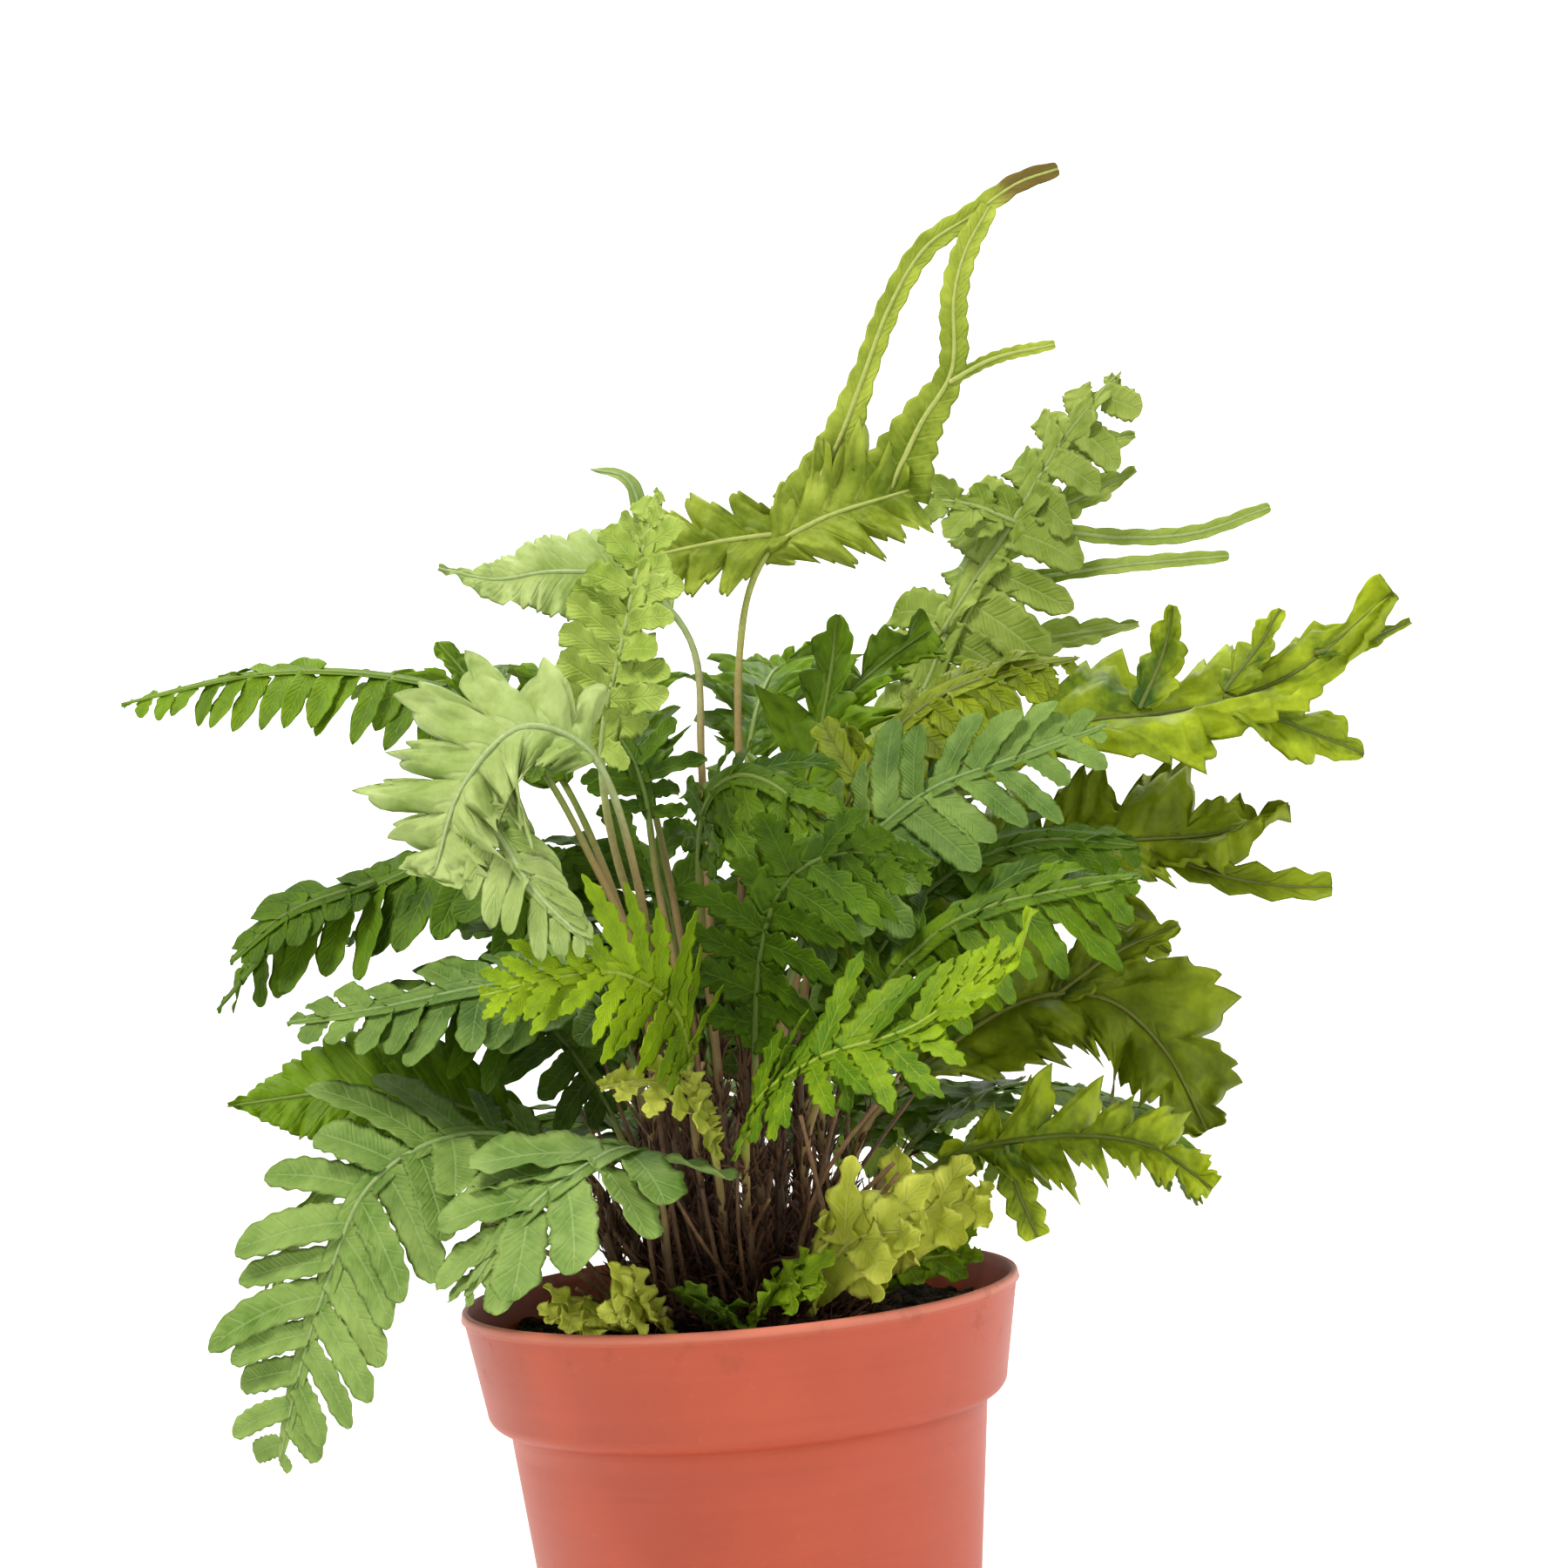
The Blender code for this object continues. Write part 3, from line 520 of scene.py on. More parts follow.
# Living leaf: mottled green that lightens with the leaflet's own tone and towards the tip, fine veins
# that run from the midrib forward to each lobe, a worn rim, a paler underside, and light that comes
# through. brown is the share along the frond past which it has turned dry.
def leafMaterial(tone, colours, throughShare=0.22, brown=None):
    paint = Paint(f"leaf {tone}")
    chart = paint.add("ShaderNodeUVMap", {"uv_map": "leaf"}, {})
    turns = paint.add("ShaderNodeSeparateXYZ", {}, {0: chart})
    across = Wire(paint, turns.socket.node.outputs[1])
    off = (across * 2 - 1).size()
    clouds = paint.noise(42.0, 3.0, 0.6)
    mottle = paint.noise(150.0, 4.0, 0.65)
    speck = paint.noise(760.0, 2.0, 0.5)
    slanted = turns - off * 0.8 + 1.3 + (mottle - 0.5) * 0.25
    vein = 1 - (slanted.fraction() - 0.5).size().step(0.01, 0.10)
    vein = vein * (1 - off.step(0.5, 1.0))
    branch = 1 - ((slanted * 3).fraction() - 0.5).size().step(0.05, 0.30)
    midrib = 1 - off.step(0.02, 0.09)
    rim = off.step(0.88, 1.0)
    own = paint.attribute("tone")
    under = paint.attribute("under")
    along = paint.attribute("along")
    share = (0.10 + own * 0.22 + (clouds - 0.5) * 1.8 + (mottle - 0.5) * 1.0 + (speck - 0.5) * 0.4
             + along * 0.40 + off * 0.28).clamped()
    body = paint.mix(share, colours["dark"], colours["light"])
    body = paint.mix(vein * 0.30 + branch * 0.08, body, colours["vein"])
    body = paint.mix(midrib * 0.45, body, colours["vein"])
    body = paint.mix(rim * mottle.step(0.42, 0.62) * 0.6, body, colours["rim"])
    body = paint.mix(under * 0.6, body, colours["belly"])
    if brown:
        body = paint.mix((along + (mottle - 0.5) * 0.12).step(brown, brown + 0.06) * 0.85, body,
                         (0.130, 0.045, 0.020))
    relief = (1 - vein) * 0.6 + (1 - branch) * 0.2 + (1 - midrib) * 0.5 + mottle * 0.7 + speck * 0.25
    normal = paint.bump(relief, 0.6, 0.0005)
    paint.finish(Base_Color=body, Roughness=0.46 + speck * 0.16 + under * 0.18, Normal=normal)
    paint.shader.inputs["Specular IOR Level"].default_value = 0.22
    through = paint.tree.nodes.new("ShaderNodeBsdfTranslucent")
    through.inputs["Color"].default_value = (*colours["light"], 1.0)
    blend = paint.tree.nodes.new("ShaderNodeMixShader")
    blend.inputs[0].default_value = throughShare
    paint.tree.links.new(paint.shader.outputs[0], blend.inputs[1])
    paint.tree.links.new(through.outputs[0], blend.inputs[2])
    paint.tree.links.new(blend.outputs[0], paint.output.inputs["Surface"])
    return paint.material


# Stalk: dark brown and scaly at its root, tan higher up, then the green of its leaf
def stalkMaterial(tone, green):
    paint = Paint(f"stalk {tone}")
    along = paint.attribute("along")
    fibre = paint.noise(900.0, 3.0, 0.6)
    patch = paint.noise(60.0, 2.0, 0.5)
    place = (along + (patch - 0.5) * 0.16).clamped()
    root = paint.mix(place.step(0.04, 0.24), (0.026, 0.008, 0.004), (0.095, 0.052, 0.018))
    tan = paint.mix(place.step(0.26, 0.46), root, (0.300, 0.210, 0.070))
    body = paint.mix(place.step(0.48, 0.72), tan, green)
    body = paint.mix((fibre - 0.35).clamped() * 0.7, body, (0.10, 0.06, 0.02))
    paint.finish(Base_Color=body, Roughness=0.5 + fibre * 0.2, Normal=paint.bump(fibre, 0.4, 0.0003))
    return paint.material


# Dry scales and old bark: dark red-brown with paler tips and long fibres
def crownMaterial(name, dark, light, roughness=0.72):
    paint = Paint(name)
    own = paint.attribute("tone")
    along = paint.attribute("along")
    coarse = paint.noise(180.0, 5.0, 0.65)
    fine = paint.noise(1600.0, 3.0, 0.6)
    share = (0.30 + own * 0.16 + along * 0.25 + (coarse - 0.5) * 1.2 + (fine - 0.5) * 0.6).clamped()
    return paint.finish(Base_Color=paint.mix(share, dark, light), Roughness=roughness + fine * 0.15,
                        Normal=paint.bump(coarse * 0.5 + fine * 0.5, 0.8, 0.0006))


leaves = {tone: leafMaterial(tone, colours, brown=0.83 if tone == "antler" else None)
          for tone, colours in leafTones.items()}
stalks = {tone: stalkMaterial(tone, colours.get("stem", colours["belly"]))
          for tone, colours in leafTones.items()}
chaff = crownMaterial("chaff", (0.035, 0.010, 0.005), (0.200, 0.085, 0.035))
print("materials for leaves and stalks made")

# Sizes that the plant is placed by, in metres, and the radius inside the pot's rim in millimetres
crownLow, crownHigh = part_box("crown")
plant = dict(rimHeight=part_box("pot")[1][2], mouthRadius=68.4, rootGap=0.9 * mm, rootLift=7 * mm,
             crownRadius=crownHigh[0], crownFoot=crownLow[2], crownHeight=crownHigh[2] - crownLow[2])


# A point of the plant: millimetres across, and millimetres above the rim
def rimPoint(place):
    return np.array([place[0] * mm, place[1] * mm, plant["rimHeight"] + place[2] * mm])


# A point between the crown's edge and the pot's mouth: azimuth, share of the way, height
def mouthPoint(azimuth, share, height):
    edge = plant["crownRadius"] / mm
    out = edge + (plant["mouthRadius"] - edge) * share
    angle = math.radians(azimuth)
    return out * math.cos(angle), out * math.sin(angle), height


# Where radii and azimuths meet the crown's dome, height * (1 - (radius / edge)**2), and the direction
# square to it there
def onCrown(radius, turn):
    slope = 2 * plant["crownHeight"] * radius / plant["crownRadius"] ** 2
    square = unit(np.stack([slope * np.cos(turn), slope * np.sin(turn), np.ones_like(turn)], axis=-1))
    height = plant["crownFoot"] + plant["crownHeight"] * (1 - (radius / plant["crownRadius"]) ** 2)
    return np.stack([radius * np.cos(turn), radius * np.sin(turn), height], axis=-1), square


# The line of a frond: it leaves the crown's dome square to it, then runs through its route
def frondLine(root, route):
    start, square = onCrown(root[0] * mm, math.radians(root[1]))
    start = start + square * plant["rootGap"]
    return [start, start + square * plant["rootLift"]] + [rimPoint(place) for place in route]


# Habits that several fronds share
oak = dict(depth=0.66, saw=0.45, roundness=0.8, teeth=4, toothDepth=0.24, uneven=0.34, lean=0.5,
           wave=0.30, fold=0.25, droop=0.3, fullness=0.6, widest=0.42, baseWidth=0.25)
lobed = dict(fill=1.25, base=1.1, peak=0.15, blunt=1.4, scallops=3, depth=0.22, saw=0.7, web=0.22,
             angles=(62, 32), hang=0.05, ruffle=0.28, cup=0.25, toneSpread=0.2, jitter=1.3,
             fullness=0.5, shortest=0.3)
oblong = dict(fill=1.12, base=0.85, peak=0.4, blunt=2.6, scallops=6, depth=0.16, web=0.12,
              angles=(80, 52), hang=0.12, toneSpread=0.35)
rounded = dict(fill=1.2, base=0.7, peak=0.5, blunt=2.4, scallops=4, depth=0.30, web=0.16,
               angles=(74, 42), hang=0.15, cup=0.3, toneSpread=0.5, ruffle=0.24, jitter=1.3)
lacy = dict(fill=1.1, base=0.8, peak=0.3, blunt=1.5, scallops=5, depth=0.42, web=0.12, saw=0.3,
            angles=(72, 38), hang=0.1, toneSpread=0.5)
prong = dict(depth=0.35, saw=0.4, roundness=0.8, teeth=2, toothDepth=0.12, wave=0.25, fold=0.2,
             widest=0.3, fullness=0.6, baseWidth=0.5, uneven=0.2)
strap = dict(depth=0.14, wave=0.10, fold=0.15, droop=0.0, fullness=0.16, widest=0.5, teeth=1,
             toothDepth=0.04, lean=0.1, roundness=0.9, columns=12)

# Grown fronds. root is (millimetres from the crown's middle, azimuth); route is what the midrib
# passes, in millimetres across and above the rim; start is the share of the line where the blade
# begins; skin, where given, names the leaf's colours in place of tone. A part is (kind, half width in
# millimetres, how many lobes or pairs, settings), and each of the arms is a part after its own route.
fronds = [
    dict(node="antler_frond", tone="olive", skin="antler", root=(4, 0), facing=(0.1, -1, 0.25), start=0.80,
         route=[(6, 0, 60), (9, 0, 110), (12, 0, 156), (19, -1, 180), (34, -3, 190), (58, -4, 196)],
         part=("blade", 21, 5, dict(oak, fullness=0.35, widest=0.6, baseWidth=0.5, depth=0.45, teeth=3,
               toothDepth=0.16, alongShares=(0.3, 0.5))),
         arms=[([(30, -1, 192), (41, 1, 209), (49, 2, 226), (57, 2, 243), (67, 2, 257), (79, 2, 264),
                (91, 0, 271), (102, 0, 274)], "blade", 3.4, 18, dict(strap, baseWidth=2.4)),
               ([(53, -3, 196), (62, -4, 212), (71, -4, 225), (73, -4, 243), (77, -2, 255), (84, 1, 266)],
                "blade", 3.9, 15, dict(strap, baseWidth=2.8, alongShares=(0, 0.75))),
               ([(70, -4, 222), (82, -6, 227), (97, -8, 229)], "blade", 1.9, 9, dict(strap,
                alongShares=(0, 0.75))),
               ([(28, -1, 188), (10, -2, 187), (-13, -2, 184)], "blade", 17, 4, dict(oak, depth=0.45,
                teeth=3, toothDepth=0.16, fullness=0.45, alongShares=(0.3, 0.5)))]),
    dict(node="pale_upper_frond", tone="pale", root=(9, 100), facing=(0.3, -0.9, 0.6), start=0.72,
         route=[(-1, 20, 80), (0, 32, 130), (0, 40, 163), (-14, 37, 181), (-34, 32, 185), (-50, 29, 184),
                (-64, 27, 188)],
         part=("blade", 17, 13, dict(depth=0.07, saw=0.7, teeth=2, widest=0.27, wave=0.12, fullness=1.1,
               roundness=0.9, toothDepth=0.05, halves=(0.9, 1.0))),
         arms=[([(-11, 37, 184), (-11, 35, 199), (-14, 33, 208), (-23, 32, 211)], "blade", 2.8, 4,
                dict(strap, baseWidth=1.5, fullness=0.6, widest=0.3, tipWidth=0.0003))]),
    dict(node="bright_folded_frond", tone="fresh", skin="bright", root=(10, 232), facing=(-0.6, -0.8, 0.2),
         start=0.66,
         route=[(-12, -18, 70), (-21, -30, 110), (-22, -40, 137), (-15, -45, 161), (-9, -46, 181),
                (-3, -44, 197)],
         part=("leaflets", 20, 11, dict(rounded, fill=1.55, cup=0.5, web=0.3, lift=0.3, widest=0.28,
               fullness=0.6))),
    dict(node="broad_pale_frond", tone="pale", root=(14, 236), facing=(-0.2, -1, 0.5), start=0.69,
         route=[(-13, -34, 62), (-15, -54, 104), (-22, -66, 134), (-38, -72, 143), (-53, -73, 130),
                (-61, -74, 110)],
         part=("blade", 28, 8, dict(depth=0.52, saw=0.15, roundness=0.55, teeth=3, toothDepth=0.16,
               wave=0.30, fold=0.12, droop=0.25, widest=0.40, fullness=0.45, baseWidth=0.5, uneven=0.40,
               lean=0.35)),
         arms=[([(-50, -73, 128), (-38, -80, 106), (-26, -81, 92)], "leaflets", 13, 7, dict(oblong,
                scallops=2, hang=0.4, fill=0.95))]),
    dict(node="left_upper_frond", tone="mid", root=(12, 175), facing=(0, -0.5, 1), start=0.52,
         route=[(-16, 4, 70), (-30, 9, 112), (-43, 10, 138), (-60, 8, 154), (-82, 6, 161), (-110, 2, 163),
                (-143, -4, 158)],
         part=("leaflets", 17, 20, dict(oblong, hang=0.40, scallops=3, angles=(80, 55), widest=0.4,
               blunt=1.7, fill=1.25, alongShares=(0.6, 1.4))),
         arms=[([(-50, 9, 145), (-57, 9, 158), (-64, 9, 168)], "blade", 8, 4, prong)]),
    dict(node="left_forked_frond", tone="deep", root=(17, 186), facing=(0, -0.6, 1), start=0.36,
         route=[(-21, -2, 50), (-35, -5, 86), (-48, -8, 106), (-66, -10, 112), (-84, -12, 107),
                (-105, -12, 98), (-124, -10, 80)],
         part=("leaflets", 22, 15, dict(oblong, hang=0.35, scallops=4, fill=1.25,
               alongShares=(0.5, 1.6))),
         arms=[([(-82, -12, 109), (-103, -19, 103), (-118, -21, 92)], "leaflets", 11, 8, dict(oblong,
                scallops=2, web=0.3, fill=1.3))]),
    dict(node="left_level_frond", tone="pale", skin="teal", root=(19, 214), facing=(0, -0.7, 1), start=0.40,
         route=[(-18, -18, 40), (-24, -30, 70), (-36, -36, 82), (-56, -38, 82), (-80, -38, 79),
                (-103, -36, 77)],
         part=("leaflets", 20, 12, dict(oblong, scallops=4, web=0.2, fill=1.2))),
    dict(node="left_pointed_frond", tone="mid", root=(23, 188), facing=(0.1, -0.9, 0.6), start=0.40,
         route=[(-33, -6, 28), (-50, -9, 44), (-71, -14, 54), (-92, -18, 58), (-121, -22, 57)],
         part=("blade", 19, 13, dict(depth=0.07, saw=0.8, teeth=2, widest=0.36, wave=0.10, fullness=1.0,
               lean=0.5, roundness=0.9, toothDepth=0.06, alongShares=(0.6, 1.4)))),
    dict(node="left_drooping_frond", tone="blue", root=(25, 210), facing=(-0.5, -0.9, 0.4), start=0.30,
         route=[(-36, -22, 30), (-52, -32, 45), (-70, -42, 46), (-86, -48, 36), (-96, -50, 16),
                (-104, -50, -4), (-111, -48, -26)],
         part=("leaflets", 29, 13, dict(oblong, hang=0.0, fill=1.25, angles=(84, 60), widest=0.45,
               ruffle=0.08, fullness=0.5))),
    dict(node="front_rounded_frond", tone="blue", root=(24, 238), facing=(-0.2, -0.8, 0.8), start=0.34,
         route=[(-17, -32, 30), (-22, -52, 42), (-33, -70, 40), (-47, -80, 31), (-60, -86, 15)],
         part=("leaflets", 28, 7, dict(rounded, fill=1.35, scallops=5, depth=0.14, ruffle=0.12, jitter=0.9,
               hang=0.1))),
    dict(node="front_lacy_frond", tone="fresh", root=(18, 254), facing=(0.1, -1, 0.5), start=0.42,
         route=[(-7, -34, 46), (-8, -54, 72), (-19, -72, 84), (-34, -77, 85), (-52, -78, 82)],
         part=("leaflets", 24, 14, dict(lacy, fill=1.3, hang=0.0, alongShares=(0.7, 1.3)))),
    dict(node="front_fan_frond", tone="fresh", root=(22, 278), facing=(-0.2, -0.8, 0.9), start=0.36,
         route=[(4, -36, 28), (8, -60, 50), (24, -80, 62), (47, -91, 69), (69, -96, 85)],
         part=("leaflets", 26, 14, dict(lacy, hang=0.05, lift=0.15, fill=1.3, alongShares=(-0.7, 0.7))),
         arms=[([(22, -79, 60), (46, -91, 67), (68, -96, 82), (74, -97, 93)], "blade", 6.5, 6, dict(prong,
                alongShares=(0.9, 1.5)))]),
    dict(node="front_blue_frond", tone="blue", skin="teal", root=(15, 304), facing=(0, -0.8, 0.8),
         start=0.46,
         route=[(16, -24, 70), (34, -34, 103), (54, -42, 120), (76, -48, 127), (98, -50, 133)],
         part=("leaflets", 26, 12, dict(oblong, hang=0.15, angles=(78, 40), fill=1.05))),
    dict(node="right_lobed_frond", tone="fresh", skin="lobed", root=(12, 18), facing=(-0.2, -0.8, 0.8),
         start=0.42,
         route=[(24, 7, 80), (46, 12, 110), (70, 17, 128), (98, 21, 135), (126, 23, 136), (154, 22, 143),
                (181, 18, 162)],
         part=("blade", 31, 5, dict(oak, widest=0.38, fullness=0.75, depth=0.58, uneven=0.25,
               halves=(0.74, 1.0), alongShares=(-0.2, 1.2))),
         arms=[([(114, 22, 137), (121, 23, 150), (125, 22, 163)], "blade", 8, 3, prong),
               ([(136, 22, 139), (155, 22, 129), (171, 22, 121)], "blade", 12, 3, prong),
               ([(136, 22, 140), (146, 21, 151), (152, 20, 160)], "blade", 7, 3, prong),
               ([(160, 21, 148), (173, 20, 150), (185, 19, 154)], "blade", 4, 3, prong)]),
    dict(node="right_upper_frond", tone="mid", skin="upper", root=(9, 52), facing=(-0.6, -0.8, 0.4),
         start=0.44,
         route=[(22, 24, 80), (44, 42, 122), (60, 50, 147), (71, 48, 168), (86, 44, 188), (101, 40, 209),
                (116, 36, 224)],
         part=("leaflets", 25, 13, dict(oblong, web=0.2, fill=1.3, hang=0.4, fullness=0.4)),
         arms=[([(66, 48, 162), (75, 47, 174), (87, 44, 190), (101, 40, 209), (116, 36, 225)], "blade", 10,
                7, dict(oak, depth=0.4, teeth=2, toothDepth=0.1, alongShares=(0.6, 1))),
               ([(90, 42, 188), (112, 38, 183), (133, 34, 182), (153, 30, 187)], "blade", 2.6, 9, dict(strap,
                baseWidth=1.5)),
               ([(76, 46, 172), (94, 39, 174), (114, 33, 175), (141, 28, 175)], "blade", 2.6, 8, dict(strap,
                baseWidth=1.5)),
               ([(90, 43, 188), (76, 45, 195), (61, 46, 198)], "leaflets", 11, 4, dict(lobed, shortest=0.6)),
               ([(86, 44, 188), (104, 42, 194), (120, 40, 200)], "blade", 7, 4, prong),
               ([(96, 41, 202), (108, 38, 207), (120, 36, 209)], "blade", 6, 3, prong),
               ([(64, 49, 157), (90, 47, 158), (118, 45, 160)], "blade", 7, 5, prong)]),
    dict(node="right_olive_frond", tone="olive", root=(17, 34), facing=(-0.2, -0.8, 0.6), start=0.40,
         route=[(34, 18, 54), (58, 27, 82), (80, 33, 98), (106, 37, 103), (132, 39, 103), (153, 39, 107)],
         part=("blade", 38, 6, dict(oak, fullness=0.85, depth=0.48, widest=0.32, baseWidth=0.5,
               alongShares=(0.3, 1.4))),
         arms=[([(112, 39, 102), (134, 37, 92), (150, 35, 88), (162, 34, 87)], "blade", 6, 5, dict(strap,
                baseWidth=1.2, depth=0.35)),
               ([(90, 35, 100), (104, 34, 84), (118, 32, 73)], "blade", 12, 3, prong)]),
    dict(node="right_blade_frond", tone="deep", skin="olive", root=(21, 4), facing=(-0.3, -0.8, 0.5),
         start=0.34,
         route=[(34, 2, 36), (56, 2, 55), (78, 0, 66), (97, -4, 65), (110, -8, 52), (119, -12, 31)],
         part=("blade", 29, 6, dict(oak, depth=0.42, uneven=0.25, toothDepth=0.18)),
         arms=[([(84, -1, 66), (100, -2, 76), (117, -3, 82)], "blade", 9, 4, prong)]),
    dict(node="right_crinkled_frond", tone="mid", skin="lobed", root=(25, 338), facing=(-0.2, -0.9, 0.6),
         start=0.38,
         route=[(37, -12, 18), (54, -20, 30), (72, -27, 34), (90, -32, 34), (104, -36, 30), (116, -39, 20)],
         part=("blade", 17, 7, dict(oak, depth=0.75, wave=0.42, uneven=0.45, roundness=0.6,
               alongShares=(0.4, 1.4))),
         arms=[([(68, -27, 33), (70, -28, 22), (74, -27, 10)], "blade", 5, 4, dict(strap, baseWidth=0.9,
                depth=0.3))]),
    dict(node="back_left_dark_frond", tone="deep", root=(14, 127), facing=(0.2, -0.8, 0.8), start=0.45,
         route=[(-10, 28, 62), (-12, 42, 96), (-20, 48, 110), (-34, 51, 111), (-51, 52, 106)],
         part=("leaflets", 26, 9, dict(rounded, fill=1.25))),
    dict(node="middle_high_frond", tone="mid", root=(9, 12), facing=(-0.3, -0.6, 0.8), start=0.45,
         route=[(14, 4, 70), (22, 8, 110), (32, 10, 138), (46, 12, 152), (62, 14, 162)],
         part=("blade", 26, 6, oak),
         arms=[([(31, 10, 136), (35, 11, 152), (38, 11, 167)], "blade", 10, 3, prong)]),
    dict(node="middle_front_frond", tone="deep", root=(17, 288), facing=(0, -0.8, 0.6), start=0.40,
         route=[(8, -28, 50), (12, -46, 84), (20, -58, 102), (34, -66, 108), (54, -70, 104)],
         part=("leaflets", 24, 10, dict(lacy, fill=1.3, hang=0.25, web=0.3))),
    dict(node="middle_right_frond", tone="mid", skin="olive", root=(10, 332), facing=(-0.1, -0.5, 0.9),
         start=0.42,
         route=[(16, -8, 64), (28, -12, 102), (42, -15, 128), (58, -18, 142), (76, -21, 148),
                (95, -24, 150)],
         part=("leaflets", 25, 15, dict(rounded, hang=0.4))),
    dict(node="middle_left_frond", tone="deep", root=(8, 142), facing=(0.3, -0.6, 0.8), start=0.74,
         route=[(-8, 9, 60), (-13, 15, 100), (-15, 17, 126), (-21, 19, 141), (-33, 21, 148)],
         part=("leaflets", 20, 9, dict(rounded, hang=0.2))),
    dict(node="front_right_frond", tone="mid", root=(20, 312), facing=(0, -0.7, 0.8), start=0.38,
         route=[(20, -28, 40), (34, -42, 66), (50, -52, 84), (68, -60, 93), (102, -65, 97)],
         part=("leaflets", 26, 14, dict(rounded, hang=0.35, alongShares=(0.0, 0.8)))),
    dict(node="middle_hanging_frond", tone="mid", root=(13, 268), facing=(0.2, -0.7, 0.7), start=0.62,
         route=[(-1, -18, 60), (-2, -24, 96), (1, -30, 120), (10, -37, 128), (22, -44, 122), (31, -50, 106)],
         part=("leaflets", 21, 10, dict(rounded, hang=0.35, scallops=5, fill=1.3,
               alongShares=(-0.2, 0.8)))),
    dict(node="left_inner_frond", tone="deep", root=(20, 196), facing=(0, -0.6, 1), start=0.36,
         route=[(-25, -8, 36), (-36, -14, 62), (-50, -19, 77), (-68, -22, 81), (-90, -24, 76)],
         part=("leaflets", 24, 13, dict(oblong, scallops=4, hang=0.3))),
    dict(node="right_inner_frond", tone="deep", root=(18, 352), facing=(0, -0.7, 0.8), start=0.38,
         route=[(25, -4, 48), (42, -7, 82), (60, -9, 99), (82, -11, 106), (107, -13, 103)],
         part=("leaflets", 27, 14, dict(rounded, hang=0.35))),
    dict(node="front_pale_frond", tone="yellow", root=(20, 266), facing=(0, -0.8, 0.8), start=0.45,
         route=[(-2, -32, 30), (-4, -46, 48), (-11, -58, 57), (-27, -65, 58)],
         part=("leaflets", 13, 7, dict(lacy, fill=1.3, cup=0.5, ruffle=0.4))),
]

# Young leaves low round the crown, through points between its edge and the pot's mouth
youngLeaves = [
    dict(node="young_leaf_1", tone="yellow", root=(27, 300), facing=(0, -0.8, 0.8), half=20,
         route=[(298, 0.32, 6), (302, 0.68, 16), (308, 1.07, 18)]),
    dict(node="young_leaf_2", tone="yellow", root=(27, 324), facing=(0, -0.8, 0.6), half=18,
         route=[(321, 0.27, 8), (323, 0.64, 18), (328, 1.07, 22)]),
    dict(node="young_leaf_3", tone="fresh", root=(28, 346), facing=(0, -0.7, 0.9), half=13,
         route=[(344, 0.17, 1), (343, 0.46, 5), (343, 0.79, 6)]),
    dict(node="young_leaf_4", tone="fresh", root=(27, 276), facing=(0, -0.7, 0.9), half=12,
         route=[(279, 0.20, 0), (284, 0.44, 6), (290, 0.76, 6)]),
    dict(node="young_leaf_5", tone="mid", root=(28, 256), facing=(0, -0.6, 1), half=12,
         route=[(261, 0.17, -3), (261, 0.39, 2), (266, 0.64, 2)]),
    dict(node="young_leaf_6", tone="yellow", root=(27, 238), facing=(0, -0.7, 0.9), half=13,
         route=[(241, 0.23, -1), (241, 0.49, 6), (243, 0.80, 3)]),
    dict(node="young_leaf_7", tone="yellow", root=(28, 220), facing=(0, -0.6, 1), half=11,
         route=[(223, 0.23, -3), (223, 0.50, 1), (224, 0.85, 2)]),
]
for young in youngLeaves:
    young.update(start=0.25, route=[mouthPoint(*place) for place in young["route"]],
                 part=("leaflets", young["half"], 4, dict(lobed, angles=(85, 25), scallops=4, depth=0.25,
                       hang=0.0, lift=0.2, widest=0.5, blunt=2.0, web=0.6, ruffle=0.4)))

# The back's three tiers: azimuths, the crown's ring, and (distance out, height) along one frond
backTiers = {
    "back_low": dict(azimuths=(20, 44, 69, 96, 123, 149, 173), ring=24, tone="mid", start=0.28,
                     arc=[(36, 20), (58, 38), (82, 42), (104, 30), (120, 6)],
                     part=("leaflets", 27, 15, dict(oblong, hang=0.15))),
    "back_mid": dict(azimuths=(45, 71, 98, 125, 151), ring=18, tone="deep", start=0.30,
                     arc=[(26, 40), (44, 76), (66, 96), (92, 101), (118, 92)],
                     part=("leaflets", 25, 15, dict(rounded, hang=0.25))),
    "back_high": dict(azimuths=(76, 110, 148), ring=13, tone="mid", start=0.64,
                      arc=[(19, 60), (34, 110), (52, 140), (78, 156), (106, 158)],
                      part=("blade", 26, 7, oak)),
}
backShape = dict(reachChange=0.09, bend=5.0)
for tier, plan in backTiers.items():
    for number, azimuth in enumerate(plan["azimuths"]):
        reach = 1 + backShape["reachChange"] * math.sin(2.4 * number + 1)
        bend = backShape["bend"] * math.sin(1.9 * number)
        route = []
        for out, height in plan["arc"]:
            angle = math.radians(azimuth + bend * (out / plan["arc"][-1][0]) ** 2)
            route.append((reach * out * math.cos(angle), reach * out * math.sin(angle), height))
        angle = math.radians(azimuth)
        fronds.append(dict(node=f"{tier}_frond_{number + 1}", tone=plan["tone"],
                           root=(plan["ring"], azimuth), start=plan["start"], route=route,
                           facing=(0.3 * math.cos(angle), 0.3 * math.sin(angle), 1.0),
                           part=plan["part"]))


# One part of a frond: a broad blade, or pairs of leaflets
def addPart(patches, spine, shares, part, rng):
    kind, half, many, settings = part
    if kind == "blade":
        addBlade(patches, spine, shares, half * mm, many, rng, **settings)
    else:
        addLeaflets(patches, spine, shares, half * mm, many, rng, **settings)


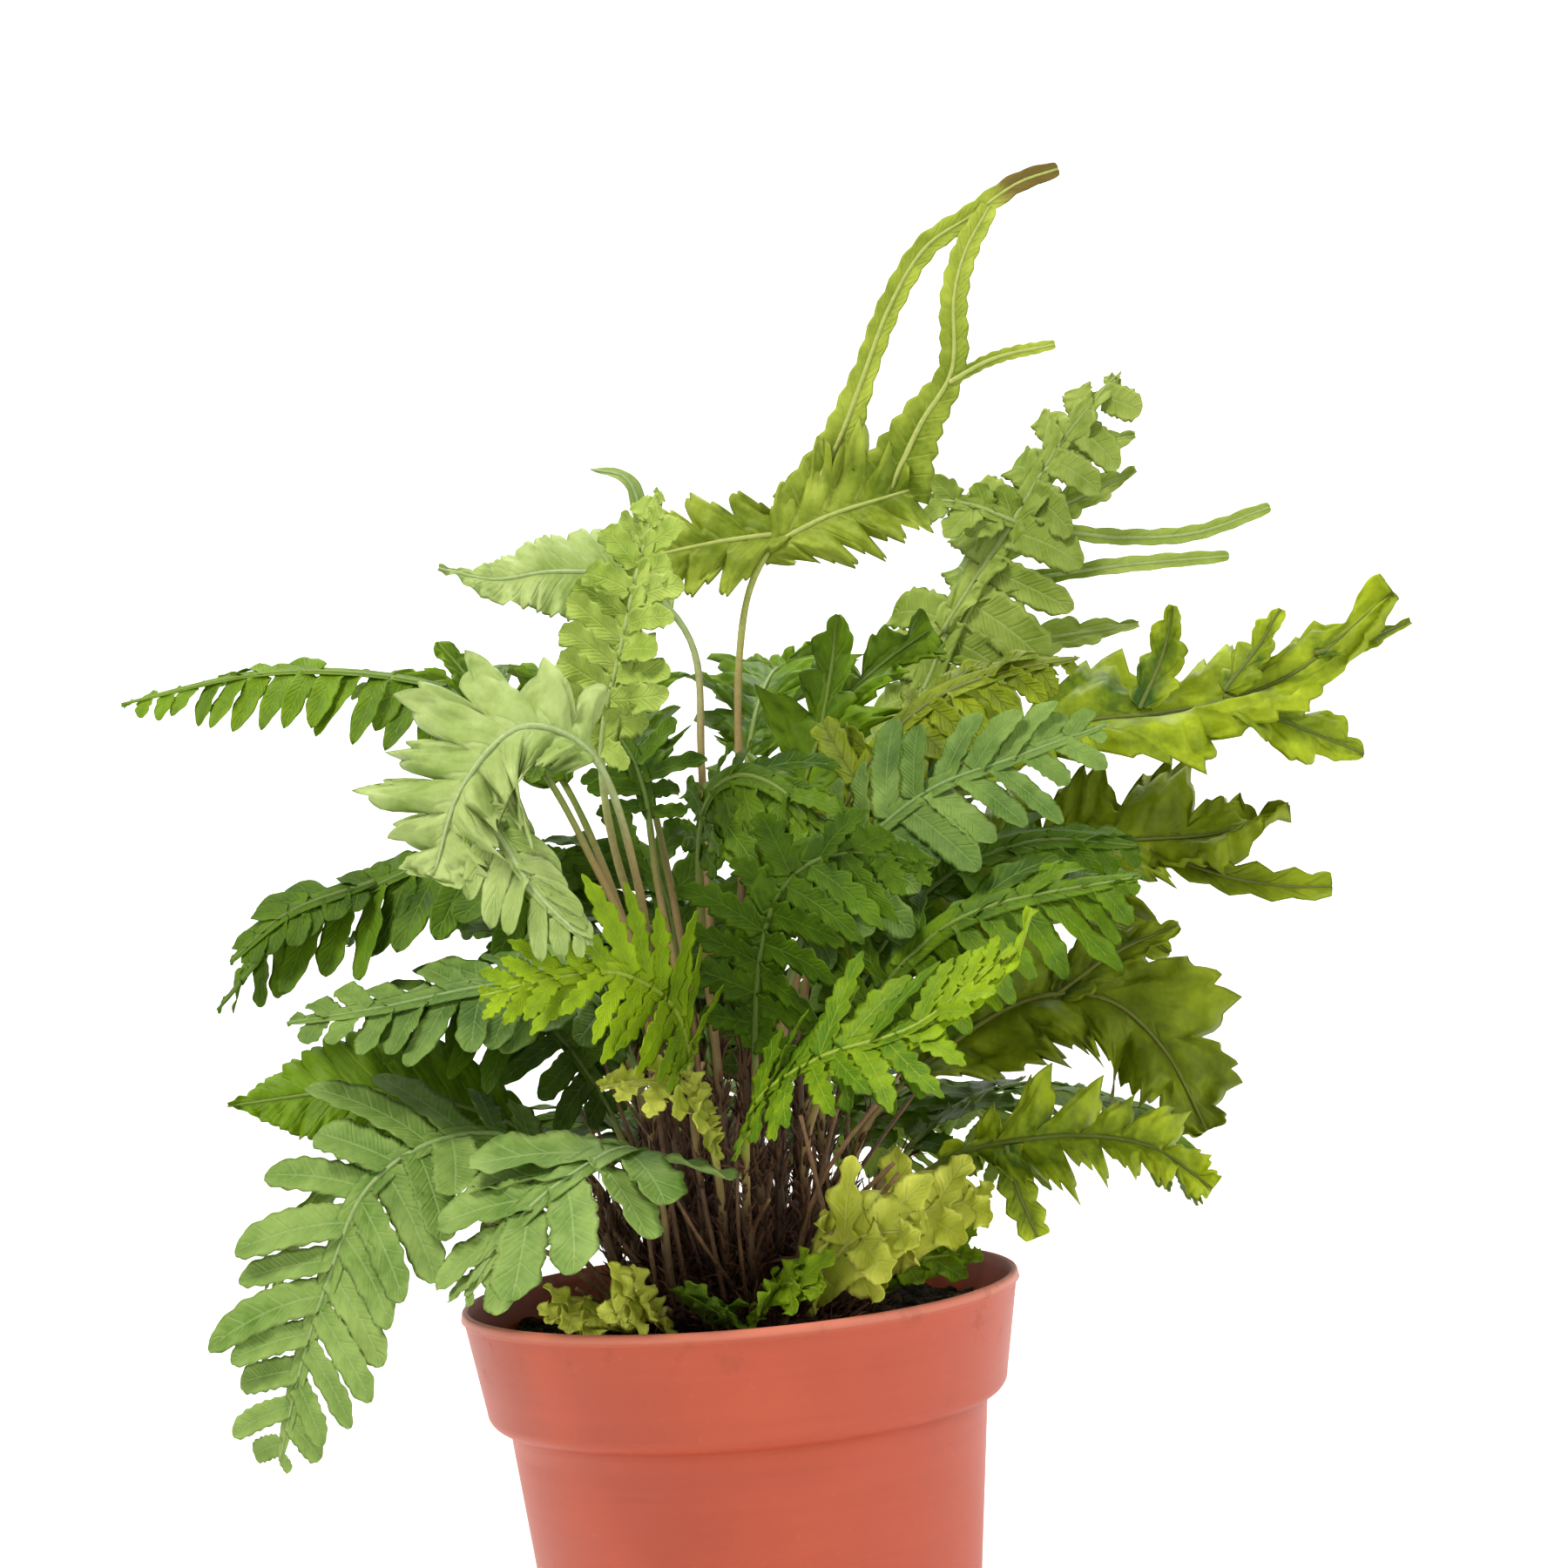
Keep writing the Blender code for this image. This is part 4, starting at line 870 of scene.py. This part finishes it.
for number, frond in enumerate(fronds + youngLeaves):
    rng = np.random.default_rng(1000 + number)
    patches = Patches()
    start = frond["start"]
    spine = spineOf(frondLine(frond["root"], frond["route"]), frond["facing"],
                    start + 0.35 * (1 - start))
    addPart(patches, spine, (start, 1.0), frond["part"], rng)
    addStalk(patches, spine, join=start)
    for route, *part in frond.get("arms", ()):
        arm = spineOf([rimPoint(place) for place in route], frond["facing"], 0.4)
        addPart(patches, arm, (0.0, 1.0), part, rng)
        addStalk(patches, arm, thick=(0.8, 0.7, 0.35), join=0.3, count=40, youngest=0.76)
    addChaff(patches, spine, rng)
    skin = frond.get("skin", frond["tone"])
    makePiece(frond["node"].replace("_frond", "") + "_leafage", patches,
              [leaves[skin], stalks[skin], chaff], "leaf_" + frond["tone"], [frond["node"]])
print("fronds made:", len(fronds) + len(youngLeaves))

# Pot, in millimetres. The two height bands are where the painted highlight on the lip and the mud set in.
pot = dict(height=122.0, rimRadius=70.0, bandHeight=30.0, bandTaper=math.radians(10), bandStep=4.5,
           baseRadius=50.0, wall=1.6, floor=2.2, lipHeight=3.0, lipProud=0.8, footBevel=2.5,
           drains=8, drainRadius=4.5, drainCircle=36.0, segments=192,
           lipHighlightBand=(118.8, 120.6), mudShade=(104.0, 116.0))


# Outer radius of the wall at heights: a straight taper, a quarter-ellipse step, then the band's taper
def potRadius(height):
    bandFoot = pot["height"] - pot["bandHeight"]
    slope = math.tan(pot["bandTaper"])
    bodyTop = pot["rimRadius"] - pot["bandHeight"] * slope - pot["bandStep"]
    body = pot["baseRadius"] + (bodyTop - pot["baseRadius"]) * height / bandFoot
    band = pot["rimRadius"] - (pot["height"] - height) * slope
    rise = np.clip((height - bandFoot) / pot["bandStep"], 0, 1)
    full = pot["rimRadius"] - (pot["bandHeight"] - pot["bandStep"]) * slope
    step = bodyTop + (full - bodyTop) * np.sqrt(1 - (1 - rise) ** 2)
    return np.where(height >= bandFoot + pot["bandStep"], band, np.where(height > bandFoot, step, body))


# A round corner of a profile: points of a quarter ellipse from one place to another
def corner(start, end, turnFirst, count=5):
    angle = np.linspace(0, np.pi / 2, count)
    first, second = np.sin(angle), 1 - np.cos(angle)
    x, z = (first, second) if turnFirst == "out" else (second, first)
    return np.stack([start[0] + (end[0] - start[0]) * x, start[1] + (end[1] - start[1]) * z], axis=1)


# Surface of revolution: each profile point (radius, height) in millimetres goes once round the axis,
# and the two ends of the profile lie on the axis and are closed by fans
def addTurned(patches, profile, segments, wobble=None):
    profile = np.asarray(profile)
    turn = np.linspace(0, 2 * np.pi, segments, endpoint=False)
    radius, height = profile[1:-1, :1], profile[1:-1, 1:]
    if wobble is not None:
        radius, height = wobble(radius, height, turn[None])
    radius = np.broadcast_to(radius, (len(profile) - 2, segments))
    height = np.broadcast_to(height, radius.shape)
    points = np.stack([radius * np.cos(turn), radius * np.sin(turn), height], axis=-1) * mm
    quads, fans = tubeFaces(len(points), segments)
    ends = np.array([[0, 0, profile[0, 1]], [0, 0, profile[-1, 1]]]) * mm
    patches.add(np.concatenate([points.reshape(-1, 3), ends]), quads, np.zeros(2), 0.0, 0.0, 0.0, 0, fans)


# Cuts upright round holes through the floor of a piece
def drillFloor(piece, count, radius, circle, depth):
    drills = []
    for number in range(count):
        angle = 2 * math.pi * (number + 0.5) / count
        patches = Patches()
        addTurned(patches, [(0, -depth), (radius, -depth), (radius, depth), (0, depth)], 40)
        drill = makePiece(f"drill{number}", patches, [], "pot_plastic")
        drill.location = (circle * math.cos(angle) * mm, circle * math.sin(angle) * mm, 0)
        cut = piece.modifiers.new("drain", "BOOLEAN")
        cut.operation, cut.solver, cut.object = "DIFFERENCE", "EXACT", drill
        drills.append(drill)
    bpy.context.view_layer.update()
    graph = bpy.context.evaluated_depsgraph_get()
    drilled = bpy.data.meshes.new_from_object(piece.evaluated_get(graph))
    piece.modifiers.clear()
    piece.data = drilled
    for drill in drills:
        bpy.data.objects.remove(drill)


# Moulded terracotta plastic: slightly patchy colour, fine grain, lighter scuffs, a painted highlight over
# the lip and the top of the rim, faint streaks round it from the mould and a little dried mud inside
def potMaterial():
    paint = Paint("terracotta plastic")
    place = paint.place()
    parts = paint.add("ShaderNodeSeparateXYZ", {}, {0: place})
    height = Wire(paint, parts.socket.node.outputs[2])
    stretched = paint.add("ShaderNodeVectorMath", {"operation": "MULTIPLY"},
                          {0: place, 1: (1.0, 1.0, 22.0)})
    streaks = paint.noise(14.0, 4.0, 0.6, stretched)
    clouds = paint.noise(16.0, 4.0, 0.55)
    grain = paint.noise(1500.0, 2.0, 0.5)
    scuffs = paint.noise(240.0, 6.0, 0.75).step(0.60, 0.72)
    share = (0.5 + (clouds - 0.5) * 1.5 + (streaks - 0.5) * 0.6).clamped()
    body = paint.mix(share, (0.390, 0.052, 0.018), (0.500, 0.077, 0.029))
    body = paint.mix(scuffs * 0.12, body, (0.70, 0.28, 0.19))
    # painted highlight: the lip and the top of the rim are painted lighter, where light from above falls on
    # them
    lip = height.step(*(level * mm for level in pot["lipHighlightBand"]))
    body = paint.mix(lip * 0.30, body, (0.84, 0.36, 0.24))
    inside = height.step(*(level * mm for level in pot["mudShade"]))
    mud = inside * paint.noise(95.0, 5.0, 0.7).step(0.56, 0.68) * 0.18
    body = paint.mix(mud, body, (0.09, 0.05, 0.03))
    relief = grain * 0.35 + streaks * 0.8 + scuffs * 0.4
    return paint.finish(Base_Color=body, Roughness=0.40 + clouds * 0.16 + scuffs * 0.12 + mud * 0.8,
                        Normal=paint.bump(relief, 0.25, 0.0003))


# The pot's profile, in order: under the foot, up the outside, over the lip, down the inside
def makePot():
    size = pot
    top, lipFoot = size["height"], size["height"] - size["lipHeight"]
    foot = corner((size["baseRadius"] - size["footBevel"], 0), (float(potRadius(size["footBevel"])),
                                                               size["footBevel"]), "out")
    stepHeights = top - size["bandHeight"] + size["bandStep"] * np.linspace(0, 1, 12)
    heights = np.concatenate([np.linspace(size["footBevel"], stepHeights[0], 16)[1:-1], stepHeights,
                              np.linspace(stepHeights[-1], lipFoot, 8)[1:]])
    outer = np.stack([potRadius(heights), heights], axis=1)
    proud = size["lipProud"]
    lip = np.concatenate([
        corner(outer[-1], (outer[-1, 0] + proud, lipFoot + proud), "up"),
        corner((size["rimRadius"], top - proud), (size["rimRadius"] - proud, top), "up"),
        corner((size["rimRadius"] - size["wall"] + 0.3, top), (size["rimRadius"] - size["wall"], top - 0.5),
               "out")])
    inner = np.stack([potRadius(heights) - size["wall"], heights], axis=1)[::-1]
    inner = inner[inner[:, 1] > size["floor"] + 3]
    edge = float(potRadius(size["floor"])) - size["wall"]
    inside = corner((edge, size["floor"] + 2.5), (edge - 2.5, size["floor"]), "up")
    profile = np.concatenate([[[0, 0], [10, 0]], foot, outer, lip, inner, inside,
                              [[10, size["floor"]], [0, size["floor"]]]])
    patches = Patches()
    addTurned(patches, profile, size["segments"])
    piece = makePiece("pot_moulding", patches, [potMaterial()], "pot_plastic", ["pot"])
    drillFloor(piece, size["drains"], size["drainRadius"], size["drainCircle"], 4 * size["floor"])


makePot()
print("pot made")

# Potting mix, in millimetres
soil = dict(below=11.0, gap=0.35, swell=0.91, flatFrom=67.0, flatOver=12.0, crumbs=1500,
            crumbSize=(0.5, 1.7), chips=130, chipSize=(0.9, 1.8))


# Many closed lumps at once: a sphere of 6 x 8 points whose radius ripples, squashed and turned at
# random, one for each place. size is each one's half length.
def addLumps(patches, places, size, rng, flat=0.7, long=1.0, slot=0):
    count = len(places)
    polar = np.linspace(0, np.pi, 6)[1:-1]
    turn = np.linspace(0, 2 * np.pi, 8, endpoint=False)
    ball = np.stack([np.outer(np.sin(polar), np.cos(turn)), np.outer(np.sin(polar), np.sin(turn)),
                     np.outer(np.cos(polar), np.ones(len(turn)))], axis=-1).reshape(-1, 3)
    ball = np.concatenate([ball, [[0, 0, 1], [0, 0, -1]]])
    bumps = 1 + 0.28 * rng.standard_normal((count, len(ball), 1))
    shape = ball[None] * np.clip(bumps, 0.6, 1.5) * np.array([long, 1.0, flat])
    axis = unit(rng.standard_normal((count, 3)) * np.array([1, 1, 2.5]))
    other = unit(np.cross(axis, rng.standard_normal((count, 3))))
    third = np.cross(axis, other)
    turned = np.stack([other, third, axis], axis=1)
    points = places[:, None] + np.einsum("npi,nij->npj", shape, turned) * size[:, None, None]
    quads, fans = map(flipped, tubeFaces(len(polar), len(turn)))
    tone = np.repeat(rng.standard_normal(count), len(ball))
    patches.add(points, copied(quads, count, len(ball)), np.zeros(2), tone, 0.0, 0.0, slot,
                copied(fans, count, len(ball)))


# Random radii and azimuths, even over the area between two shares of the outer circle's
def scatter(rng, count, shares, reach):
    return np.sqrt(rng.uniform(*shares, count)) * reach, rng.uniform(0, 2 * np.pi, count)


# Damp peat: near black, each crumb its own brown, with paler fibres and a rough, matt skin
def soilMaterial(name, dark, light, roughness):
    paint = Paint(name)
    own = paint.attribute("tone")
    coarse = paint.noise(260.0, 5.0, 0.7)
    fine = paint.noise(1400.0, 3.0, 0.6)
    share = (0.35 + own * 0.18 + (coarse - 0.5) * 1.6 + (fine - 0.5) * 0.8).clamped()
    return paint.finish(Base_Color=paint.mix(share, dark, light), Roughness=roughness + fine * 0.12,
                        Normal=paint.bump(coarse * 0.6 + fine * 0.4, 0.9, 0.0008))


# Height of the potting mix over a place: three sine waves over the two coordinates make low mounds and
# dips, which die out towards the pot's wall
def soilHeight(x, y):
    reach = np.clip((soil["flatFrom"] - np.hypot(x, y)) / soil["flatOver"], 0, 1)
    ripples = (np.sin(x * 0.21 + 1.0) * np.sin(y * 0.19 + 2.0) + 0.5 * np.sin(x * 0.47 - y * 0.33)
               + 0.35 * np.sin(x * 0.9 + y * 0.7 + 1.7))
    return pot["height"] - soil["below"] + soil["swell"] * reach * ripples


# The body of the mix, then crumbs and chips of bark on it, clear of the crown
def makeSoil():
    rng = np.random.default_rng(7)
    top = pot["height"] - soil["below"]
    bottom = pot["floor"] + soil["gap"]
    heights = np.linspace(bottom, top, 18)
    side = np.stack([potRadius(heights) - pot["wall"] - soil["gap"], heights], axis=1)
    edge = side[-1, 0]
    surface = np.stack([np.linspace(edge, 0, 60)[1:], np.full(59, top)], axis=1)
    profile = np.concatenate([[[0, bottom], [10, bottom]], side, surface])

    def mound(radius, height, turn):
        over = soilHeight(radius * np.cos(turn), radius * np.sin(turn))
        return radius, np.where(height > top - 0.01, over, height)

    patches = Patches()
    addTurned(patches, profile, 160, wobble=mound)
    count = soil["crumbs"]
    radius, turn = scatter(rng, count, (0.18, 1), edge - 1.5)
    size = rng.uniform(*soil["crumbSize"], count) ** 1.3
    x, y = radius * np.cos(turn), radius * np.sin(turn)
    places = np.stack([x, y, soilHeight(x, y) + size * 0.25], axis=1) * mm
    addLumps(patches, places, size * mm, rng)
    count = soil["chips"]
    radius, turn = scatter(rng, count, (0.2, 1), edge - 3)
    x, y = radius * np.cos(turn), radius * np.sin(turn)
    places = np.stack([x, y, soilHeight(x, y) + 0.7], axis=1) * mm
    addLumps(patches, places, rng.uniform(*soil["chipSize"], count) * mm, rng, flat=0.4, long=2.2, slot=1)
    makePiece("potting_mix_surface", patches,
              [soilMaterial("damp peat", (0.006, 0.004, 0.003), (0.050, 0.030, 0.020), 0.82),
               soilMaterial("bark chips", (0.030, 0.014, 0.007), (0.130, 0.065, 0.032), 0.75)],
              "potting_mix", ["potting_mix"])


makeSoil()
print("potting mix made")

# Crown, in millimetres
crown = dict(scales=1300, scaleLength=(4.0, 9.0), scaleHalf=(0.4, 0.9), fibres=900, fibreLength=(5, 15),
             fibreRadius=(0.08, 0.2), stubs=40, stubLength=(5, 13), stubRadius=(1.0, 1.7), oldStalks=58,
             oldLength=(24, 66), oldRadius=(0.5, 0.8))


# The knobbly dome, then scales, fibres, stubs of cut stalks and old bare stalks
def makeCrown():
    rng = np.random.default_rng(11)
    patches = Patches()
    edge = plant["crownRadius"] / mm
    foot, tall = plant["crownFoot"] / mm, plant["crownHeight"] / mm
    radii = np.linspace(edge, 0, 40)
    dome = np.stack([radii, foot + tall * (1 - (radii / edge) ** 2)], axis=1)

    def knobs(radius, height, turn):
        inside = np.clip((edge - radius) / 4, 0, 1) * np.clip(radius / 4, 0, 1)
        lumps = np.sin(radius * 0.9 + 2 * np.sin(turn * 3)) * np.sin(turn * 11)
        return radius, height - 0.3 + 0.8 * inside * (lumps + 0.6 * np.sin(turn * 23 + radius))

    addTurned(patches, np.concatenate([[[0, foot - 0.2]], dome]), 120, wobble=knobs)
    count = crown["scales"]
    radius, turn = scatter(rng, count, (0.0, 1.0), edge * mm)
    start, square = onCrown(radius, turn)
    outward = np.stack([np.cos(turn), np.sin(turn), np.zeros(count)], axis=1)
    ahead = unit(square * rng.uniform(0.3, 1.6, (count, 1)) + outward * rng.uniform(-0.4, 0.9, (count, 1))
                 + 0.45 * rng.standard_normal((count, 3)))
    square = unit(square - ahead * np.sum(square * ahead, axis=1, keepdims=True))
    length = rng.uniform(*crown["scaleLength"], count) * mm
    addScales(patches, start - square * 0.2 * mm, ahead, square, length,
              rng.uniform(*crown["scaleHalf"], count) * mm, rng)
    count = crown["fibres"]
    radius, turn = scatter(rng, count, (0.05, 1.1), edge * mm)
    start, square = onCrown(np.minimum(radius, plant["crownRadius"]), turn)
    ahead = unit(square + 0.6 * rng.standard_normal((count, 3)))
    bend = 0.5 * rng.standard_normal((count, 3)) + np.array([0, 0, -0.2])
    addHairs(patches, start, ahead, bend, rng.uniform(*crown["fibreLength"], count) * mm,
             rng.uniform(*crown["fibreRadius"], count) * mm, rng.standard_normal(count))
    for number in range(crown["stubs"] + crown["oldStalks"]):
        old = number >= crown["stubs"]
        radius = math.sqrt(rng.uniform(0.05, 0.95)) * edge * mm
        turn = rng.uniform(0, 2 * np.pi)
        start, square = onCrown(radius, turn)
        lean = unit(square * (0.45, 0.45, 1.0) + rng.normal(0, 0.18, 3))
        length = rng.uniform(*crown["oldLength" if old else "stubLength"]) * mm
        end = start + lean * length + rng.normal(0, 0.06, 3) * length
        middle = start + lean * length * 0.5 + rng.normal(0, 0.03, 3) * length
        spine = spineOf([start, middle, end], (0, -1, 0.2), 0.5, 33)
        share = np.linspace(0, 1, 14)
        line, forward, ups = onSpine(spine, share)
        thick = rng.uniform(*crown["oldRadius" if old else "stubRadius"]) * mm
        wide = thick * (1 - 0.25 * share + 0.12 * np.sin(share * 30 + number))
        addTube(patches, line, forward, ups, wide, share, tone=rng.normal(), slot=2 if old else 0)
    makePiece("crown_scales", patches,
              [crownMaterial("crown bark", (0.010, 0.004, 0.003), (0.090, 0.032, 0.018), 0.8),
               crownMaterial("crown scales", (0.030, 0.008, 0.005), (0.190, 0.075, 0.035)),
               crownMaterial("old stalks", (0.070, 0.028, 0.012), (0.300, 0.170, 0.070), 0.5)],
              "crown", ["crown"])


makeCrown()
print("crown made")

# Camera: level, in front of the plant, and turned a little about its own axis
view = dict(place=(21 * mm, -850 * mm, 247 * mm), roll=math.radians(4.5), lens=77.53, sensor=36.0,
            near=20 * mm)
camera = bpy.data.objects.new("camera", bpy.data.cameras.new("camera"))
camera.data.lens = view["lens"]
camera.data.sensor_width = view["sensor"]
camera.data.clip_start = view["near"]
cosine, sine = math.cos(view["roll"]), math.sin(view["roll"])
x, y, z = view["place"]
camera.matrix_world = Matrix(((cosine, sine, 0, x), (0, 0, -1, y), (-sine, cosine, 0, z), (0, 0, 0, 1)))
bpy.context.scene.collection.objects.link(camera)
bpy.context.scene.camera = camera

# Studio: a round pale sweep, flat under the plant and curving up to a wall all round it
studio = dict(flat=1.2, reach=2.4, wall=1.5, rings=48, segments=96)


# Rings out to flat, then a quarter ellipse from there out by the rest of reach and up by wall
def makeStudio():
    radii = np.concatenate([np.linspace(0, studio["flat"], 8)[1:],
                            studio["flat"] + (studio["reach"] - studio["flat"])
                            * np.sin(np.linspace(0, np.pi / 2, studio["rings"]))[1:]])
    heights = np.concatenate([np.zeros(7), studio["wall"]
                              * (1 - np.cos(np.linspace(0, np.pi / 2, studio["rings"])))[1:]])
    turn = np.linspace(0, 2 * np.pi, studio["segments"], endpoint=False)
    points = np.stack([np.outer(radii, np.cos(turn)), np.outer(radii, np.sin(turn)),
                       np.outer(heights, np.ones(len(turn)))], axis=-1).reshape(-1, 3)
    quads, fans = map(flipped, tubeFaces(len(radii), len(turn)))
    mesh = bpy.data.meshes.new("sweep")
    mesh.from_pydata(np.concatenate([points, [[0, 0, 0]]]).tolist(), [],
                     quads.tolist() + fans[:len(turn)].tolist())
    mesh.shade_smooth()
    paint = Paint("pale sweep")
    mesh.materials.append(paint.finish(Base_Color=(0.86, 0.86, 0.86), Roughness=0.9))
    sweep = bpy.data.objects.new("sweep", mesh)
    bpy.context.scene.collection.objects.link(sweep)


# A round lamp at a place, turned to face the target
def addLight(name, place, target, size, power, colour):
    light = bpy.data.lights.new(name, "AREA")
    light.shape, light.size, light.energy, light.color = "DISK", size, power, colour
    lamp = bpy.data.objects.new(name, light)
    towards = Vector(target) - Vector(place)
    lamp.rotation_mode = "QUATERNION"
    lamp.rotation_quaternion = towards.to_track_quat("-Z", "Y")
    lamp.location = place
    bpy.context.scene.collection.objects.link(lamp)


makeStudio()
middle = (0.0, 0.0, 0.2)
addLight("key", (-0.7, -0.7, 1.7), middle, 0.6, 29.0, (1.0, 0.97, 0.90))
addLight("fill", (1.3, -1.0, 0.8), middle, 1.2, 8.0, (0.95, 0.98, 1.0))
addLight("back", (0.3, 1.0, 1.5), middle, 0.8, 12.0, (1.0, 1.0, 1.0))
addLight("wall", (0.0, 0.9, 1.9), (0.0, 2.3, 0.6), 1.2, 40.0, (1.0, 1.0, 1.0))
world = bpy.data.worlds.new("pale room")
world.use_nodes = True
background = world.node_tree.nodes["Background"].inputs
background["Color"].default_value = (1.0, 1.0, 1.0, 1.0)
background["Strength"].default_value = 0.40
bpy.context.scene.world = world
bpy.context.scene.view_settings.view_transform = "Standard"
print("camera, studio and lights set")
